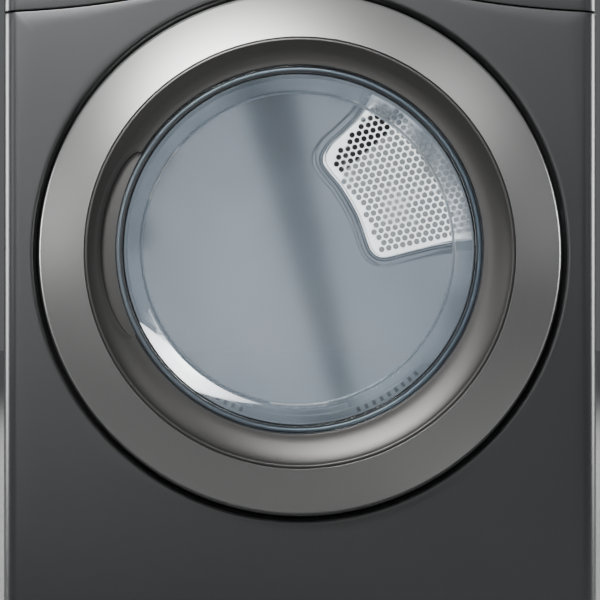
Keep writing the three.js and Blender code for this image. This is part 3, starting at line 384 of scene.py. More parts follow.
def plate(outline, holes, front, back=None, rim=True):
    """Flat plate with holes: two faces with walls between them, or a single sheet where there is no back.

    Without a rim the outline itself gets no wall.
    """
    points, triangles = cut_sheet(outline, holes)
    shell = Shell().sheet(points, triangles, front)
    if back is not None:
        shell.sheet(points, triangles, back)
        for loop in ([outline] if rim else []) + holes:
            loop = closed_loop(loop)
            shell.grid(loop[:, 0], np.array([[front], [back]]), loop[:, 1])
    return shell


def shrunk(section, scale):
    """Rows of a closed section, each scaled about its middle, as radii and depths: nought closes an end."""
    middle = section[:-1].mean(0)
    rows = middle + (section - middle) * np.asarray(scale)[:, None, None]
    return rows[..., 0], rows[..., 1]


def inside(points, loop):
    """Which points lie inside a closed loop: a ray to the right crosses its sides an odd number of times."""
    a, b = loop, np.roll(loop, -1, 0)
    x, z = points[:, :1], points[:, 1:]
    spans = (a[:, 1] > z) != (b[:, 1] > z)
    rise = np.where(b[:, 1] == a[:, 1], 1.0, b[:, 1] - a[:, 1])
    crossing = a[:, 0] + (b[:, 0] - a[:, 0]) * (z - a[:, 1]) / rise
    return (spans & (x < crossing)).sum(1) % 2 == 1


def circle(centre, radius, steps, start=0.0):
    """Row of points round a circle, from a start in degrees."""
    angle = math.radians(start) + np.arange(steps) * TURN / steps
    return np.stack([centre[0] + radius * np.cos(angle), centre[1] + radius * np.sin(angle)], 1)


def hex_screw(shell, x, y, z, turn):
    """Hexagonal washer-head screw whose head stands out along Y."""
    half, edge = sizes().screw_head / 2, 0.0004
    for outer, depth, sides, twist in ((half * 1.45, 0.0008, 20, 0.0), (half, 0.0036, 6, turn)):
        profile = [(0, y), (outer, y), (outer, y + (depth - edge)), (outer - edge, y + depth), (0, y + depth)]
        turned(shell, profile, (x, z), sides, twist)
    return shell


# ---- Finishes -----------------------------------------------------------------

def node(tree, kind, inputs=None, **settings):
    """New node with its settings, and inputs that are values or other nodes' sockets."""
    made = tree.nodes.new(kind)
    for key, value in settings.items():
        setattr(made, key, value)
    for key, value in (inputs or {}).items():
        if isinstance(value, bpy.types.NodeSocket):
            tree.links.new(value, made.inputs[key])
        else:
            made.inputs[key].default_value = value
    return made


def group(name, *own):
    """New effect group with its own values as inputs; gives its tree, its input sockets and its output sockets."""
    tree = bpy.data.node_groups.new(name, "ShaderNodeTree")
    sockets = [("INPUT", "Vector", "Vector"), ("INPUT", "Colour", "Color"), *[("INPUT", key, "Float") for key in own],
               ("INPUT", "Roughness", "Float"), ("OUTPUT", "Colour", "Color"), ("OUTPUT", "Roughness", "Float"),
               ("OUTPUT", "Height", "Float")]
    for side, key, kind in sockets:
        tree.interface.new_socket(key, in_out=side, socket_type=f"NodeSocket{kind}")
    return tree, tree.nodes.new("NodeGroupInput").outputs, tree.nodes.new("NodeGroupOutput").inputs


def deliver(tree, out, colour_socket, roughness, height):
    """Links an effect's three results to its outputs and gives its tree."""
    for key, socket in (("Colour", colour_socket), ("Roughness", roughness), ("Height", height)):
        tree.links.new(socket, out[key])
    return tree


def noise(tree, vector, scale, detail=2.0):
    """Noise value over a vector."""
    return node(tree, "ShaderNodeTexNoise", {"Vector": vector, "Scale": scale, "Detail": detail}).outputs[0]


def fit(tree, value, low, high, to_low, to_high):
    """Value from one range to another, held at its ends."""
    return node(tree, "ShaderNodeMapRange", {0: value, 1: low, 2: high, 3: to_low, 4: to_high}).outputs[0]


def wander(tree, value, low, high):
    """Noise value spread over a range, held at its ends."""
    return fit(tree, value, 0.3, 0.7, low, high)


def cell_tone(tree, vector, scale):
    """Value from -1 to 1 that is constant over each cell of a cellular pattern."""
    cells = node(tree, "ShaderNodeTexVoronoi", {"Vector": vector, "Scale": scale}, feature="F1")
    return fit(tree, node(tree, "ShaderNodeSeparateColor", {0: cells.outputs["Color"]}).outputs[0], 0.0, 1.0, -1.0, 1.0)


def combine(tree, first, second, operation="ADD"):
    """Sum or product of two sockets."""
    return node(tree, "ShaderNodeMath", {0: first, 1: second}, operation=operation).outputs[0]


def shade(tree, colour_socket, factor):
    """Colour times a factor."""
    return node(tree, "ShaderNodeVectorMath", {0: colour_socket, "Scale": factor}, operation="SCALE").outputs[0]


def build_flake_group():
    """Metallic paint: tiny bright flakes, a slow drift in tone, and a faint orange-peel height."""
    tree, given, out = group("Metal flakes", "Flake")
    vector = given["Vector"]
    sparkle = cell_tone(tree, vector, 2600.0)
    drift = wander(tree, noise(tree, vector, 3.0), 0.985, 1.015)
    factor = combine(tree, combine(tree, sparkle, given["Flake"], "MULTIPLY"), drift)
    tone = shade(tree, given["Colour"], factor)
    smudge = wander(tree, noise(tree, vector, 6.0, 1.0), -0.004, 0.008)
    return deliver(tree, out, tone, combine(tree, given["Roughness"], smudge), noise(tree, vector, 260.0, 1.0))


def build_moulding_group():
    """Moulded plastic or rubber: fine spark-eroded grain and a slight drift in tone."""
    tree, given, out = group("Moulded grain", "Grain")
    vector = given["Vector"]
    tone = shade(tree, given["Colour"], wander(tree, noise(tree, vector, 9.0, 3.0), 0.94, 1.06))
    fine = noise(tree, vector, given["Grain"], 3.0)
    smudge = wander(tree, fine, -0.04, 0.04)
    return deliver(tree, out, tone, combine(tree, given["Roughness"], smudge), fine)


def build_sheet_group():
    """Rolled steel sheet: zinc spangle or polish, stretched rolling lines and faint stains."""
    tree, given, out = group("Rolled sheet", "Spangle", "Lines")
    vector = given["Vector"]
    spangle = combine(tree, cell_tone(tree, vector, 85.0), given["Spangle"], "MULTIPLY")
    stretched = node(tree, "ShaderNodeMapping", {"Vector": vector, "Scale": (12.0, 12.0, 900.0)})
    lines = wander(tree, noise(tree, stretched.outputs[0], 1.0), -1.0, 1.0)
    brushed = combine(tree, lines, given["Lines"], "MULTIPLY")
    stain = wander(tree, noise(tree, vector, 5.0, 3.0), 0.97, 1.03)
    tone = shade(tree, given["Colour"], combine(tree, combine(tree, spangle, stain), brushed))
    return deliver(tree, out, tone, combine(tree, given["Roughness"], combine(tree, spangle, brushed)), lines)


def finish(name, effect_tree, colour_value, roughness, metallic, bump, own, shader):
    """Material whose colour, roughness and bump height come from an effect group over Object coordinates."""
    material = bpy.data.materials.new(name)
    material.use_nodes = True
    tree = material.node_tree
    tree.nodes.clear()
    inputs = {"Vector": node(tree, "ShaderNodeTexCoord").outputs["Object"], "Colour": (*colour_value, 1.0),
              "Roughness": roughness, **own}
    effect = node(tree, "ShaderNodeGroup", inputs, node_tree=effect_tree).outputs
    raised = node(tree, "ShaderNodeBump", {"Height": effect["Height"], "Strength": 1.0, "Distance": bump})
    principled = node(tree, "ShaderNodeBsdfPrincipled", {
        "Base Color": effect["Colour"], "Roughness": effect["Roughness"], "Normal": raised.outputs[0],
        "Metallic": metallic, "Coat Weight": 0.0, **shader})
    node(tree, "ShaderNodeOutputMaterial", {"Surface": principled.outputs[0]})
    return material


def let_lamps_through(material):
    """Makes a glass clear to the rays between surfaces and lamps, and keeps its looks for all other rays."""
    tree = material.node_tree
    principled = next(made for made in tree.nodes if made.type == "BSDF_PRINCIPLED")
    surface = next(made for made in tree.nodes if made.type == "OUTPUT_MATERIAL")
    clear = node(tree, "ShaderNodeBsdfTransparent", {"Color": (0.92, 0.95, 0.97, 1.0)})
    lamp_ray = node(tree, "ShaderNodeLightPath").outputs["Is Shadow Ray"]
    mix = node(tree, "ShaderNodeMixShader", {0: lamp_ray, 1: principled.outputs[0], 2: clear.outputs[0]})
    tree.links.new(mix.outputs[0], surface.inputs["Surface"])


DULL = {"Specular IOR Level": 0.1}
CLEAR = {"Transmission Weight": 1.0, "IOR": 1.5}
LACQUER = {"Coat Weight": 0.25, "Coat Roughness": 0.3}

# Per finish: its label, the property that holds its colour, roughness, metallic, bump height in metres, the
# effect's own values in the order of OWN_INPUTS, and the shader's own inputs.
OWN_INPUTS = {"flakes": ("Flake",), "grain": ("Grain",), "rolled": ("Spangle", "Lines")}
PAINTS = {
    "cabinet": ("Cabinet paint", "cabinet", 0.28, 0.85, 0.0, (0.03,), LACQUER),
    "ring": ("Ring paint", "ring", 0.32, 0.9, 0.000008, (0.03,), {}),
    "dish": ("Dish paint", "dish", 0.36, 0.9, 0.000012, (0.03,), {}),
    "silver": ("Satin silver", "silver", 0.3, 0.9, 0.00001, (0.02,), {}),
}
MOULDINGS = {
    "rim": ("Rim print", "rim", 0.5, 0.0, 0.0, (60.0,), DULL),
    "rim_black": ("Rim black and shade", "rim_black", 0.6, 0.0, 0.0, (60.0,), DULL),
    "glass": ("Bowl glass", "glass", 0.012, 0.0, 0.0, (30.0,), CLEAR),
    "screen": ("Filter screen", "grey", 0.7, 0.0, 0.0001, (2500.0,), {}),
    "gloss_black": ("Gloss black", "black", 0.12, 0.0, 0.0, (80.0,), {"Coat Weight": 0.5}),
    "black": ("Black moulding", "black", 0.5, 0.0, 0.00003, (1500.0,), {}),
    "rubber": ("Black rubber", "black", 0.68, 0.0, 0.00006, (900.0,), {}),
    "grey": ("Grey moulding", "grey", 0.42, 0.0, 0.00003, (1300.0,), {}),
    "white": ("White moulding", "white", 0.4, 0.0, 0.00003, (1300.0,), {}),
    "felt": ("Felt", "felt", 0.95, 0.0, 0.0004, (700.0,), {"Sheen Weight": 0.4}),
    "board": ("Board lacquer", "board", 0.35, 0.0, 0.00004, (400.0,), {}),
    "floor": ("Studio floor", "floor", 0.6, 0.0, 0.0, (20.0,), {}),
}
SHEETS = {
    "rim_bead": ("Rim bead highlight", "rim_bead", 0.34, 0.9, 0.0, (0.0, 0.01), {}),
    "steel": ("Drum steel", "steel", 0.36, 0.8, 0.00001, (0.0, 0.02), {}),
    "polished": ("Polished plate", "polished", 0.10, 1.0, 0.0, (0.0, 0.01), {}),
    "galvanised": ("Galvanised sheet", "galvanised", 0.42, 0.75, 0.00001, (0.05, 0.02), {}),
    "rear_wall": ("Rear wall steel", "rear_wall", 0.17, 0.5, 0.0, (0.0, 0.01), {}),
    "grille": ("Grille steel", "grille", 0.34, 0.8, 0.00001, (0.0, 0.03), {}),
    "deflector": ("Deflector sheet", "deflector", 0.4, 0.6, 0.0, (0.0, 0.01), {}),
    "copper": ("Heater wire", "copper", 0.4, 0.8, 0.00002, (0.0, 0.05), {}),
}


def build_finishes():
    """All the finishes of the machine, by name."""
    made = {}
    for effect, build, table in (("flakes", build_flake_group, PAINTS), ("grain", build_moulding_group, MOULDINGS),
                                 ("rolled", build_sheet_group, SHEETS)):
        tree = build()
        for name, (label, tone, roughness, metallic, bump, own, shader) in table.items():
            made[name] = finish(label, tree, getattr(colours(), tone), roughness, metallic, bump,
                                dict(zip(OWN_INPUTS[effect], own)), shader)
    let_lamps_through(made["glass"])
    return made


FINISHES = {}


def coat(name):
    """Finish by name, all of them built at the first call."""
    if not FINISHES:
        FINISHES.update(build_finishes())
    return FINISHES[name]


# ---- Cabinet --------------------------------------------------------------------

SEAM_ROLL = 0.0012
SEAM_RETURN = 0.008
FLAT_LINES, UPRIGHT_LINES, CORNER_LINES = 97, 73, 13


def folded(u, y):
    """Bends a flat sheet back round both upright corners.

    u is the distance along the sheet from its middle. Up to the corner it lies flat at y, then it follows a
    quarter circle, then it runs straight back. Gives x, y and how far it has turned.
    """
    half, radius = SIDE_X, sizes().corner
    reach = np.abs(u)
    turn = np.clip((reach - half + radius) / radius, 0, math.pi / 2)
    past = np.maximum(reach - half + radius - radius * math.pi / 2, 0)
    x = np.minimum(reach, half - radius) + radius * np.sin(turn)
    return np.sign(u) * x, y + radius * (1 - np.cos(turn)) + past, turn


def seam_height(x):
    """Height of the seam over the door: a bell curve whose crown touches the top of the front panel."""
    size = sizes()
    crown = PANEL_HIGH[2] + size.seam_gap / 2
    return crown - size.seam_drop * (1 - np.exp(-(x / size.seam_spread) ** 2))


def seam_edge(x, side):
    """Height of the sheet below (-1) or above (1) the seam, short of it by half the gap and the rolled edge."""
    return seam_height(x) + side * sizes().seam_gap / 2 + side * SEAM_ROLL


def wrap_lines(flat):
    """Grid lines along a folded sheet: the given lines over its flat middle, then each corner and its return."""
    radius = sizes().corner
    corner = SIDE_X - radius + np.linspace(0, radius * math.pi / 2, CORNER_LINES)
    ends = np.concatenate([corner, [corner[-1] + (FASCIA_HIGH[1] - FRONT_Y - radius)]])
    return np.concatenate([-ends[::-1], flat[1:-1], ends])


def rolled_edge(shell, u, side):
    """Edge of the folded sheet on one side of the seam: turned in over a quarter circle, then straight back."""
    angle = np.linspace(0, math.pi / 2, 6)[:, None]
    x, y, turn = folded(u, 0.0)
    rise, sink = -side * SEAM_ROLL * np.sin(angle), SEAM_ROLL * (1 - np.cos(angle))
    rise, sink = np.concatenate([rise, rise[-1:]]), np.concatenate([sink, sink[-1:] + SEAM_RETURN])
    shell.grid(x - np.sign(u) * np.sin(turn) * sink, FRONT_Y + y + np.cos(turn) * sink, seam_edge(x, side) + rise,
               flip=side < 0)


def front_panel():
    """Front panel: a folded sheet with an arched top edge and a rolled round recess for the door.

    The middle is a patch of rays from a frame of four sides to the recess's circle. The same rays run on over
    the rolled edge, down the wall, across the floor and into the collar.
    """
    size = sizes()
    flat = SIDE_X - size.corner
    bottom, low = PANEL_LOW[2], DOOR[1] - flat
    rim, collar, roll = RING_RADIUS + size.recess_gap, GLASS_RADIUS + 0.008, size.recess_roll
    floor, collar_end = FLOOR_Y - FRONT_Y, FLOOR_Y - FRONT_Y + 0.019
    across = np.linspace(-flat, flat, FLAT_LINES)
    top = seam_edge(across, -1)
    up = low + np.linspace(0, 1, UPRIGHT_LINES) * (top[0] - low)
    side_x = np.full(UPRIGHT_LINES - 1, flat)
    away_x = np.concatenate([across, side_x, across[::-1][1:], -side_x]) - DOOR[0]
    away_z = np.concatenate([np.full(FLAT_LINES, low), up[1:], top[::-1][1:], up[::-1][1:]]) - DOOR[1]
    reach = np.hypot(away_x, away_z)[:, None]
    profile = filleted([(rim + roll, 0.0), (rim, 0.0), (rim, floor), (collar, floor), (collar, collar_end)],
                       [0, roll, 0.003, 0.002, 0], steps=8, closed=False)
    share = np.linspace(0, 1, 9)[:-1] ** 0.7
    flat_reach = reach + (rim + roll - reach) * share
    radius = np.concatenate([flat_reach, np.broadcast_to(profile[:, 0], (len(reach), len(profile)))], 1)
    depth = np.concatenate([np.zeros(len(share)), profile[:, 1]])
    shift = (GLASS[1] - DOOR[1]) * ramp(-radius, -rim, -collar) * (depth > 0)
    below = np.linspace(bottom, low, 9)
    shell = Shell()
    shell.grid(DOOR[0] + away_x[:, None] / reach * radius, FRONT_Y + depth,
               DOOR[1] + away_z[:, None] / reach * radius + shift)
    shell.grid(across, FRONT_Y, below[:, None])
    heights = np.concatenate([below[:-1], up])[:, None]
    u = wrap_lines(across)
    for side in (-1, 1):
        x, y = folded(side * u[-CORNER_LINES - 1:], FRONT_Y)[:2]
        above = low + (heights - low) * (seam_edge(x, -1) - low) / (top[0] - low)
        shell.grid(x, y, np.where(heights > low, above, heights), flip=side < 0)
    rolled_edge(shell, u, -1)
    place("front_panel_shell", shell, "root", "cabinet", ["front_panel"], wall=size.sheet)


def fascia():
    """Control fascia: a folded sheet whose lower edge follows the seam, rolled in along it."""
    flat = SIDE_X - sizes().corner
    u = wrap_lines(np.linspace(-flat, flat, FLAT_LINES))
    x, y = folded(u, FRONT_Y)[:2]
    low = seam_edge(x, 1)
    share = np.linspace(0, 1, 13)[:, None]
    shell = Shell().grid(x, y, low + (FASCIA_HIGH[2] - low) * share)
    rolled_edge(shell, u, 1)
    place("fascia_shell", shell, "root", "cabinet", ["control_fascia"], wall=0.0022)


def plan(inset, steps=10):
    """Outline of the worktop seen from above, drawn in by an inset, always with as many points."""
    front, rear = max(sizes().corner - inset, 0.0004), max(0.004 - inset, 0.0004)
    return closed_loop(box_outline(TOP_LOW[:2] + inset, TOP_HIGH[:2] - inset, [front, rear, rear, front], steps))


def worktop():
    """Worktop: an upright skirt, a rounded edge, a narrow border and a field pressed down inside it."""
    edge, border, press = 0.006, 0.020, 0.0012
    top, skirt = TOP_HIGH[2], TOP_LOW[2]
    bend = np.linspace(0, math.pi / 2, 9)
    insets = np.concatenate([[0.0], edge * (1 - np.cos(bend)), [border, border + 0.002, border + 0.003]])
    heights = np.concatenate([[skirt], top - edge + edge * np.sin(bend), [top, top - press * 0.8, top - press]])
    loops = np.stack([plan(inset) for inset in insets])
    middle = (TOP_LOW[:2] + TOP_HIGH[:2]) / 2
    shrink = np.linspace(1, 0, 9)[1:, None, None]
    loops = np.concatenate([loops, middle + (loops[-1] - middle) * shrink])
    heights = np.concatenate([heights, np.full(8, top - press)])[:, None]
    shell = Shell().grid(loops[..., 0], loops[..., 1], heights, flip=True)
    place("worktop_shell", shell, "root", "cabinet", ["top_panel"], sizes().sheet, (0, 0, 1))


def side_panels():
    """Side panels: flat sheets with a wide pressed field, whose edge is a smooth step of the distance to it."""
    for name, side in (("side_panel_left", -1), ("side_panel_right", 1)):
        low, high = span(name)
        y, z = [spaced((start, start + 0.03, 3), (start + 0.03, start + 0.10, 34), (start + 0.10, end - 0.10, 8),
                       (end - 0.10, end - 0.03, 34), (end - 0.03, end, 3)) for start, end in zip(low[1:], high[1:])]
        z = z[:, None]
        field = round_box(y, z, (low + high)[1:] / 2, (high - low)[1:] / 2 - 0.05, 0.035)
        pressed = 0.0012 * ramp(-field, -0.003, 0.003)
        shell = Shell().grid(side * (SIDE_X - pressed), y, z, flip=side < 0)
        place(f"{name}_sheet", shell, "root", "cabinet", [name], 0.0008, (side, 0, 0))


def rear_panel():
    """Rear panel: ribs and rows of louvres as smooth steps, each louvre open along its lower edge."""
    low, high = REAR_LOW, REAR_HIGH
    pipe, pipe_radius = middle_of("exhaust_pipe"), np.subtract(*span("exhaust_pipe")[::-1])[0] / 2
    columns, rows = (-0.17, 0.17), 0.56 + 0.028 * np.arange(10)
    half_width, rise, tall, slit_tall, lead = 0.085, 0.0045, 0.012, 0.0036, 0.0045
    stretches_x, stretches_z = [(low[0], high[0], 110)], [(low[2], high[2], 150)]
    for row in rows:
        stretches_z += [(row - lead, row + tall, 11), (row - 0.001, row - lead, 3)]
    for column in columns:
        stretches_x += [(column + end - 0.008, column + end + 0.008, 8) for end in (-half_width, half_width)]
    x, z = spaced(*stretches_x)[None, :], spaced(*stretches_z)[:, None]
    out = np.zeros(np.broadcast_shapes(x.shape, z.shape))
    for column in columns:
        across = ramp(half_width - np.abs(x - column), 0.0, 0.006)
        for row in rows:
            out = np.maximum(out, rise * across * np.where(z >= row, ramp(row + tall - z, 0.0, tall), 0.0))
    ribs = [((0.0, (low[2] + high[2]) / 2), (0.31, 0.43), 0.03, 0.003, 0.009, 0.003),
            ((-0.19, 0.28), (0.09, 0.12), 0.03, 0.0025, 0.007, 0.002)]
    ribs += [((column, 0.70), (0.115, 0.175), 0.02, 0.0025, 0.007, 0.002) for column in columns]
    for centre, half, radius, height, foot, crown in ribs:
        rib = np.abs(round_box(x, z, centre, half, radius))
        out = np.maximum(out, height * ramp(-rib, -foot, -crown))
    middle_x, middle_z = (x[:, 1:] + x[:, :-1]) / 2, (z[1:] + z[:-1]) / 2
    in_column = np.any([np.abs(middle_x - column) < half_width - 0.006 for column in columns], 0)
    in_row = np.any([(middle_z > row - slit_tall) & (middle_z < row) for row in rows], 0)
    hole = np.hypot(middle_x - pipe[0], middle_z - pipe[1]) < pipe_radius + 0.003
    shell = Shell().grid(x, high[1] + out, z, keep=~(in_column & in_row | hole), flip=True)
    place("rear_panel_sheet", shell, "root", "galvanised", ["rear_panel"], sizes().sheet, (0, 1, 0))

    profile = filleted([(pipe_radius + 0.0004, 0.0), (pipe_radius + 0.013, 0.0), (pipe_radius + 0.013, 0.0015),
                        (pipe_radius + 0.004, 0.0022), (pipe_radius + 0.0004, 0.006)], 0.0005, 3)
    ring = turned(Shell(), closed_loop(profile) + (0, high[1] + 0.0001), pipe, 96)
    place("exhaust_flange", ring, "root", "galvanised")

    screws = Shell()
    for z_screw in np.linspace(low[2] + 0.03, high[2] - 0.03, 6):
        for side in (-1, 1):
            hex_screw(screws, side * (SIDE_X - 0.014), high[1], z_screw, z_screw * 40)
    for x_screw in (-0.2, 0.0, 0.2):
        hex_screw(screws, x_screw, high[1], high[2] - 0.014, x_screw * 30)
    for angle, spot in zip(np.radians([45, 135, 225, 315]), circle(pipe, pipe_radius + 0.0085, 4, 45)):
        hex_screw(screws, spot[0], high[1] + 0.0015, spot[1], angle)
    place("rear_screws", screws, "root", "galvanised")


# ---- Control fascia fittings -----------------------------------------------------

def rounded_plate(shell, centre, half, radius, back, front, edge):
    """Plate with rounded corners and a rounded front edge: loops of its outline, drawn in over a quarter circle."""
    bend = np.linspace(0, math.pi / 2, 5)
    insets = np.concatenate([[0.0], edge * (1 - np.cos(bend))])
    depths = np.concatenate([[back, back], front + edge - edge * np.sin(bend), [front]])[:, None]
    loops = []
    for inset in insets:
        reach = np.array(half) - inset
        loops.append(closed_loop(box_outline(-reach, reach, max(radius - inset, 0.0002), 8)))
    loops = np.stack([loops[0] * 0.0, *loops, loops[-1] * 0.0])
    return shell.grid(centre[0] + loops[..., 0], depths, centre[1] + loops[..., 1])


def display():
    """Display: a gloss black window with a thin border round it, and two rows of raised marks."""
    low, high = span("display_window")
    centre, half = middle_of("display_window"), (high - low)[[0, 2]] / 2
    window = rounded_plate(Shell(), centre, half + 0.002, 0.006, FRONT_Y + 0.002, FRONT_Y - 0.0006, 0.0006)
    place("display_glass", window, "root", "gloss_black", ["display_window"])
    marks = Shell()
    for count, first, pitch, z, mark, radius in ((5, -0.045, 0.0225, -0.006, (0.0065, 0.0009), 0.0008),
                                                 (4, -0.012, 0.008, 0.006, (0.0022, 0.0045), 0.0006)):
        for step in range(count):
            rounded_plate(marks, centre + (first + pitch * step, z), mark, radius, FRONT_Y, FRONT_Y - 0.0008, 0.0001)
    place("display_marks", marks, "root", "white")


def buttons():
    """Push buttons: a shallow dished cap with a rounded edge, each in a thin bezel on the fascia."""
    radius = 0.0108
    for name in ("option_button", "power_button", "start_button"):
        centre, face, back = middle_of(name), span(name)[0][1], FRONT_Y + 0.004
        profile = filleted([(0, face + 0.0006), (radius - 0.003, face), (radius, face), (radius, back), (0, back)],
                           [0, 0.003, 0.0008, 0, 0], 5, closed=False)
        place(f"{name}_cap", turned(Shell(), profile, centre, 64), name, "silver", [name])
        bezel = filleted([(radius + 0.0003, 0.001), (radius + 0.0003, -0.0007), (radius + 0.0022, -0.0007),
                          (radius + 0.0028, 0.001)], [0, 0.0004, 0.0006, 0], 4)
        place(f"{name}_bezel", turned(Shell(), closed_loop(bezel) + (0, FRONT_Y), centre, 64), "root",
              "gloss_black")


def dial():
    """Cycle dial: a fluted grip whose radius swells with the angle, a dished face and a pointer groove."""
    low, high = span("cycle_dial")
    centre = np.array([0.0, middle_of("cycle_dial")[1]])
    radius, front, back = (high[0] - low[0]) / 2, low[1], FRONT_Y - 0.0004
    profile = filleted([(0, front + 0.0012), (radius * 0.72, front + 0.0012), (radius * 0.78, front),
                        (radius * 0.93, front), (radius * 0.985, back - 0.002), (radius * 0.985, back), (0, back)],
                       [0, 0.0015, 0.001, 0.0022, 0.0008, 0, 0], 6, closed=False)
    flutes, flute_depth = 40, 0.012
    angle = np.linspace(0, TURN, 241)[:, None]
    wave = np.cos(angle * flutes) * 0.5 + 0.5
    out = profile[:, 0] * (1 - flute_depth * wave * ramp(profile[:, 0], radius * 0.86, radius * 0.95))
    place("cycle_dial_grip", Shell().about(centre, out, profile[:, 1], angle), "cycle_dial", "silver",
          ["cycle_dial"])
    pointer = rounded_plate(Shell(), centre + (0, radius * 0.6), (0.0009, 0.0055), 0.0008, front + 0.002,
                            front + 0.0008, 0.0002)
    place("cycle_dial_pointer", pointer, "cycle_dial", "gloss_black")
    marks, front, back = Shell(), FRONT_Y - 0.0003, FRONT_Y + 0.0004
    for spot in circle(centre, radius + 0.008, 12):
        turned(marks, [(0, front), (0.0009, front), (0.0011, back), (0, back)], spot, 12)
    place("dial_marks", marks, "root", "white")


# ---- Door ------------------------------------------------------------------------

def door_ring():
    """Door ring: its profile slopes back from the groove at its inner edge to a rounded shoulder, then runs back."""
    size = sizes()
    inner, outer, wall = STEP_RADIUS + size.bevel + size.groove, RING_RADIUS, 0.003
    face, foot, back = STEP_Y + 0.0006, STEP_Y + size.ring_fall, DOOR_BACK_Y
    profile = filleted([
        (inner, face), (outer - 0.0015, foot), (outer, foot + 0.012), (outer - 0.006, back),
        (outer - 0.006 - wall, back), (outer - wall - 0.0015, foot + 0.014), (inner, face + wall)],
        [0.0004, size.ring_shoulder, 0.002, 0.0008, 0.0005, 0.002, 0.0004], 8)
    place("door_ring_shell", turned(Shell(), closed_loop(profile), DOOR), "door", "ring", ["door_ring"])


def pocket_edge(angle):
    """Outer edge of the finger pocket by angle: the glass's rim, swelling to the pocket's width round the left.

    The swelling is the pocket's width times (1 - |share|^2.6)^(1/2.6), with share the angle from the pocket's
    middle over half its arc.
    """
    size = sizes()
    middle, fullness = math.pi - math.radians(2.0), 2.6
    share = np.clip(np.abs(angle - middle) / size.pocket_angle, 0, 1)
    return GLASS_RADIUS + 0.0006 + size.pocket_width * (1 - share ** fullness) ** (1 / fullness)


def door_trim():
    """Dished trim of the door with its finger pocket.

    A row of the surface runs inwards at one angle: over the bevel, down the dish as far as the pocket's edge,
    round the lip, down the wall and along the pocket's floor to the rim of the glass. The dish's depth is its
    sink times 1 - (1 - t)^2. Rows lie close together where the pocket is.
    """
    size = sizes()
    near, lip, sunk = math.radians(34), 0.0012, 0.0012
    angle = spaced((0, math.pi - near, 120), (math.pi - near, math.pi + near, 360), (math.pi + near, TURN, 120))
    angle = angle[:, None]

    def joined(*parts):
        """Parts of a row side by side, each the same at every angle or an array of rows."""
        return np.concatenate([np.broadcast_to(part, (len(angle), np.shape(part)[-1])) for part in parts], 1)

    edge = pocket_edge(angle)
    wide = (edge - GLASS_RADIUS - 0.0006) / size.pocket_width
    outer, start = STEP_RADIUS + size.bevel, STEP_RADIUS - 0.0008
    bevel_r = np.array([outer, outer, outer - 0.0012, STEP_RADIUS + 0.001, STEP_RADIUS, start])
    bevel_y = np.array([0.004, 0.0010, 0.0002, 0.0, 0.0004, sunk]) + STEP_Y
    share = np.linspace(0, 1, 15)[1:]
    dish_r = start + (edge + lip - start) * share
    dish_t = (start - dish_r) / (start - GLASS_RADIUS)
    swell = 0.0009 * wide * np.exp(-((dish_r - edge - 0.0035) / 0.0025) ** 2)
    dish_y = STEP_Y + sunk + (size.dish_sink - sunk) * (1 - (1 - dish_t) ** 2) - swell
    quarter = np.linspace(0, math.pi / 2, 6)[1:]
    lip_r, lip_y = edge + lip - lip * np.sin(quarter), dish_y[:, -1:] + lip * (1 - np.cos(quarter))
    floor = STEP_Y + size.dish_sink + size.pocket_depth
    share = np.linspace(0, 1, 5)[1:]
    wall_r, wall_y = edge + lip * share * wide, lip_y[:, -1:] + (floor - lip - lip_y[:, -1:]) * share
    cove_r = wall_r[:, -1:] - np.minimum(lip, (edge - GLASS_RADIUS + 0.002) * 0.5) * (1 - np.cos(quarter))
    cove_y = floor - lip + lip * np.sin(quarter)
    share = np.linspace(0, 1, 7)[1:]
    floor_r, floor_y = cove_r[:, -1:] + (GLASS_RADIUS - 0.004 - cove_r[:, -1:]) * share, floor - 0.001 * share * wide
    radius = joined(bevel_r, dish_r, lip_r, wall_r, cove_r, floor_r)
    depth = joined(bevel_y, dish_y, lip_y, wall_y, cove_y, floor_y)
    radius = joined(radius, radius[:, -1:], [GLASS_RADIUS + 0.003 + size.pocket_width], radius[:, :1] - 0.003,
                    radius[:, :1])
    depth = joined(depth, depth[:, -1:] + 0.002, [floor + 0.002, STEP_Y + 0.008], depth[:, :1])
    share = ramp(-radius, -STEP_RADIUS, -GLASS_RADIUS - 0.012)
    middle = DOOR[:, None, None] + (GLASS - DOOR)[:, None, None] * share
    place("door_dish", Shell().about(middle, radius, depth, angle), "door", "dish", ["door_trim"],
          sharp=38)


def door_glass():
    """Glass bowl: a closed profile of two walls, turned about an axis that leans slightly upwards with depth."""
    size = sizes()
    front, back = BOWL_LOW[1], BOWL_HIGH[1]
    rim, base, rear = GLASS_RADIUS, GLASS_RADIUS - 0.0078, GLASS_RADIUS - 0.021
    wall, corner = size.bowl_wall, size.bowl_corner
    flange_front, flange_back = front + 0.0005, span("bowl_gasket")[0][1] - 0.0003
    profile = stepped(filleted(
        [(0, back), (rear, back), (base, flange_back), (rim, flange_back), (rim, flange_front),
         (base - wall, flange_front), (rear - wall, back - wall), (0, back - wall)],
        [0, corner, 0.0008, 0.0006, 0.0010, 0.0010, corner * 2, 0], 10, closed=False))
    radius, y = profile.T
    depth = (y - front) / (back - front)
    axis = (GLASS[0] - 0.0019 * depth, GLASS[1] + 0.0035 * depth)
    angle = np.linspace(0, TURN, size.round_steps + 1)[:, None]
    place("door_glass_bowl", Shell().about(axis, radius, y, angle), "door", "glass", ["door_bowl"], sharp=60)


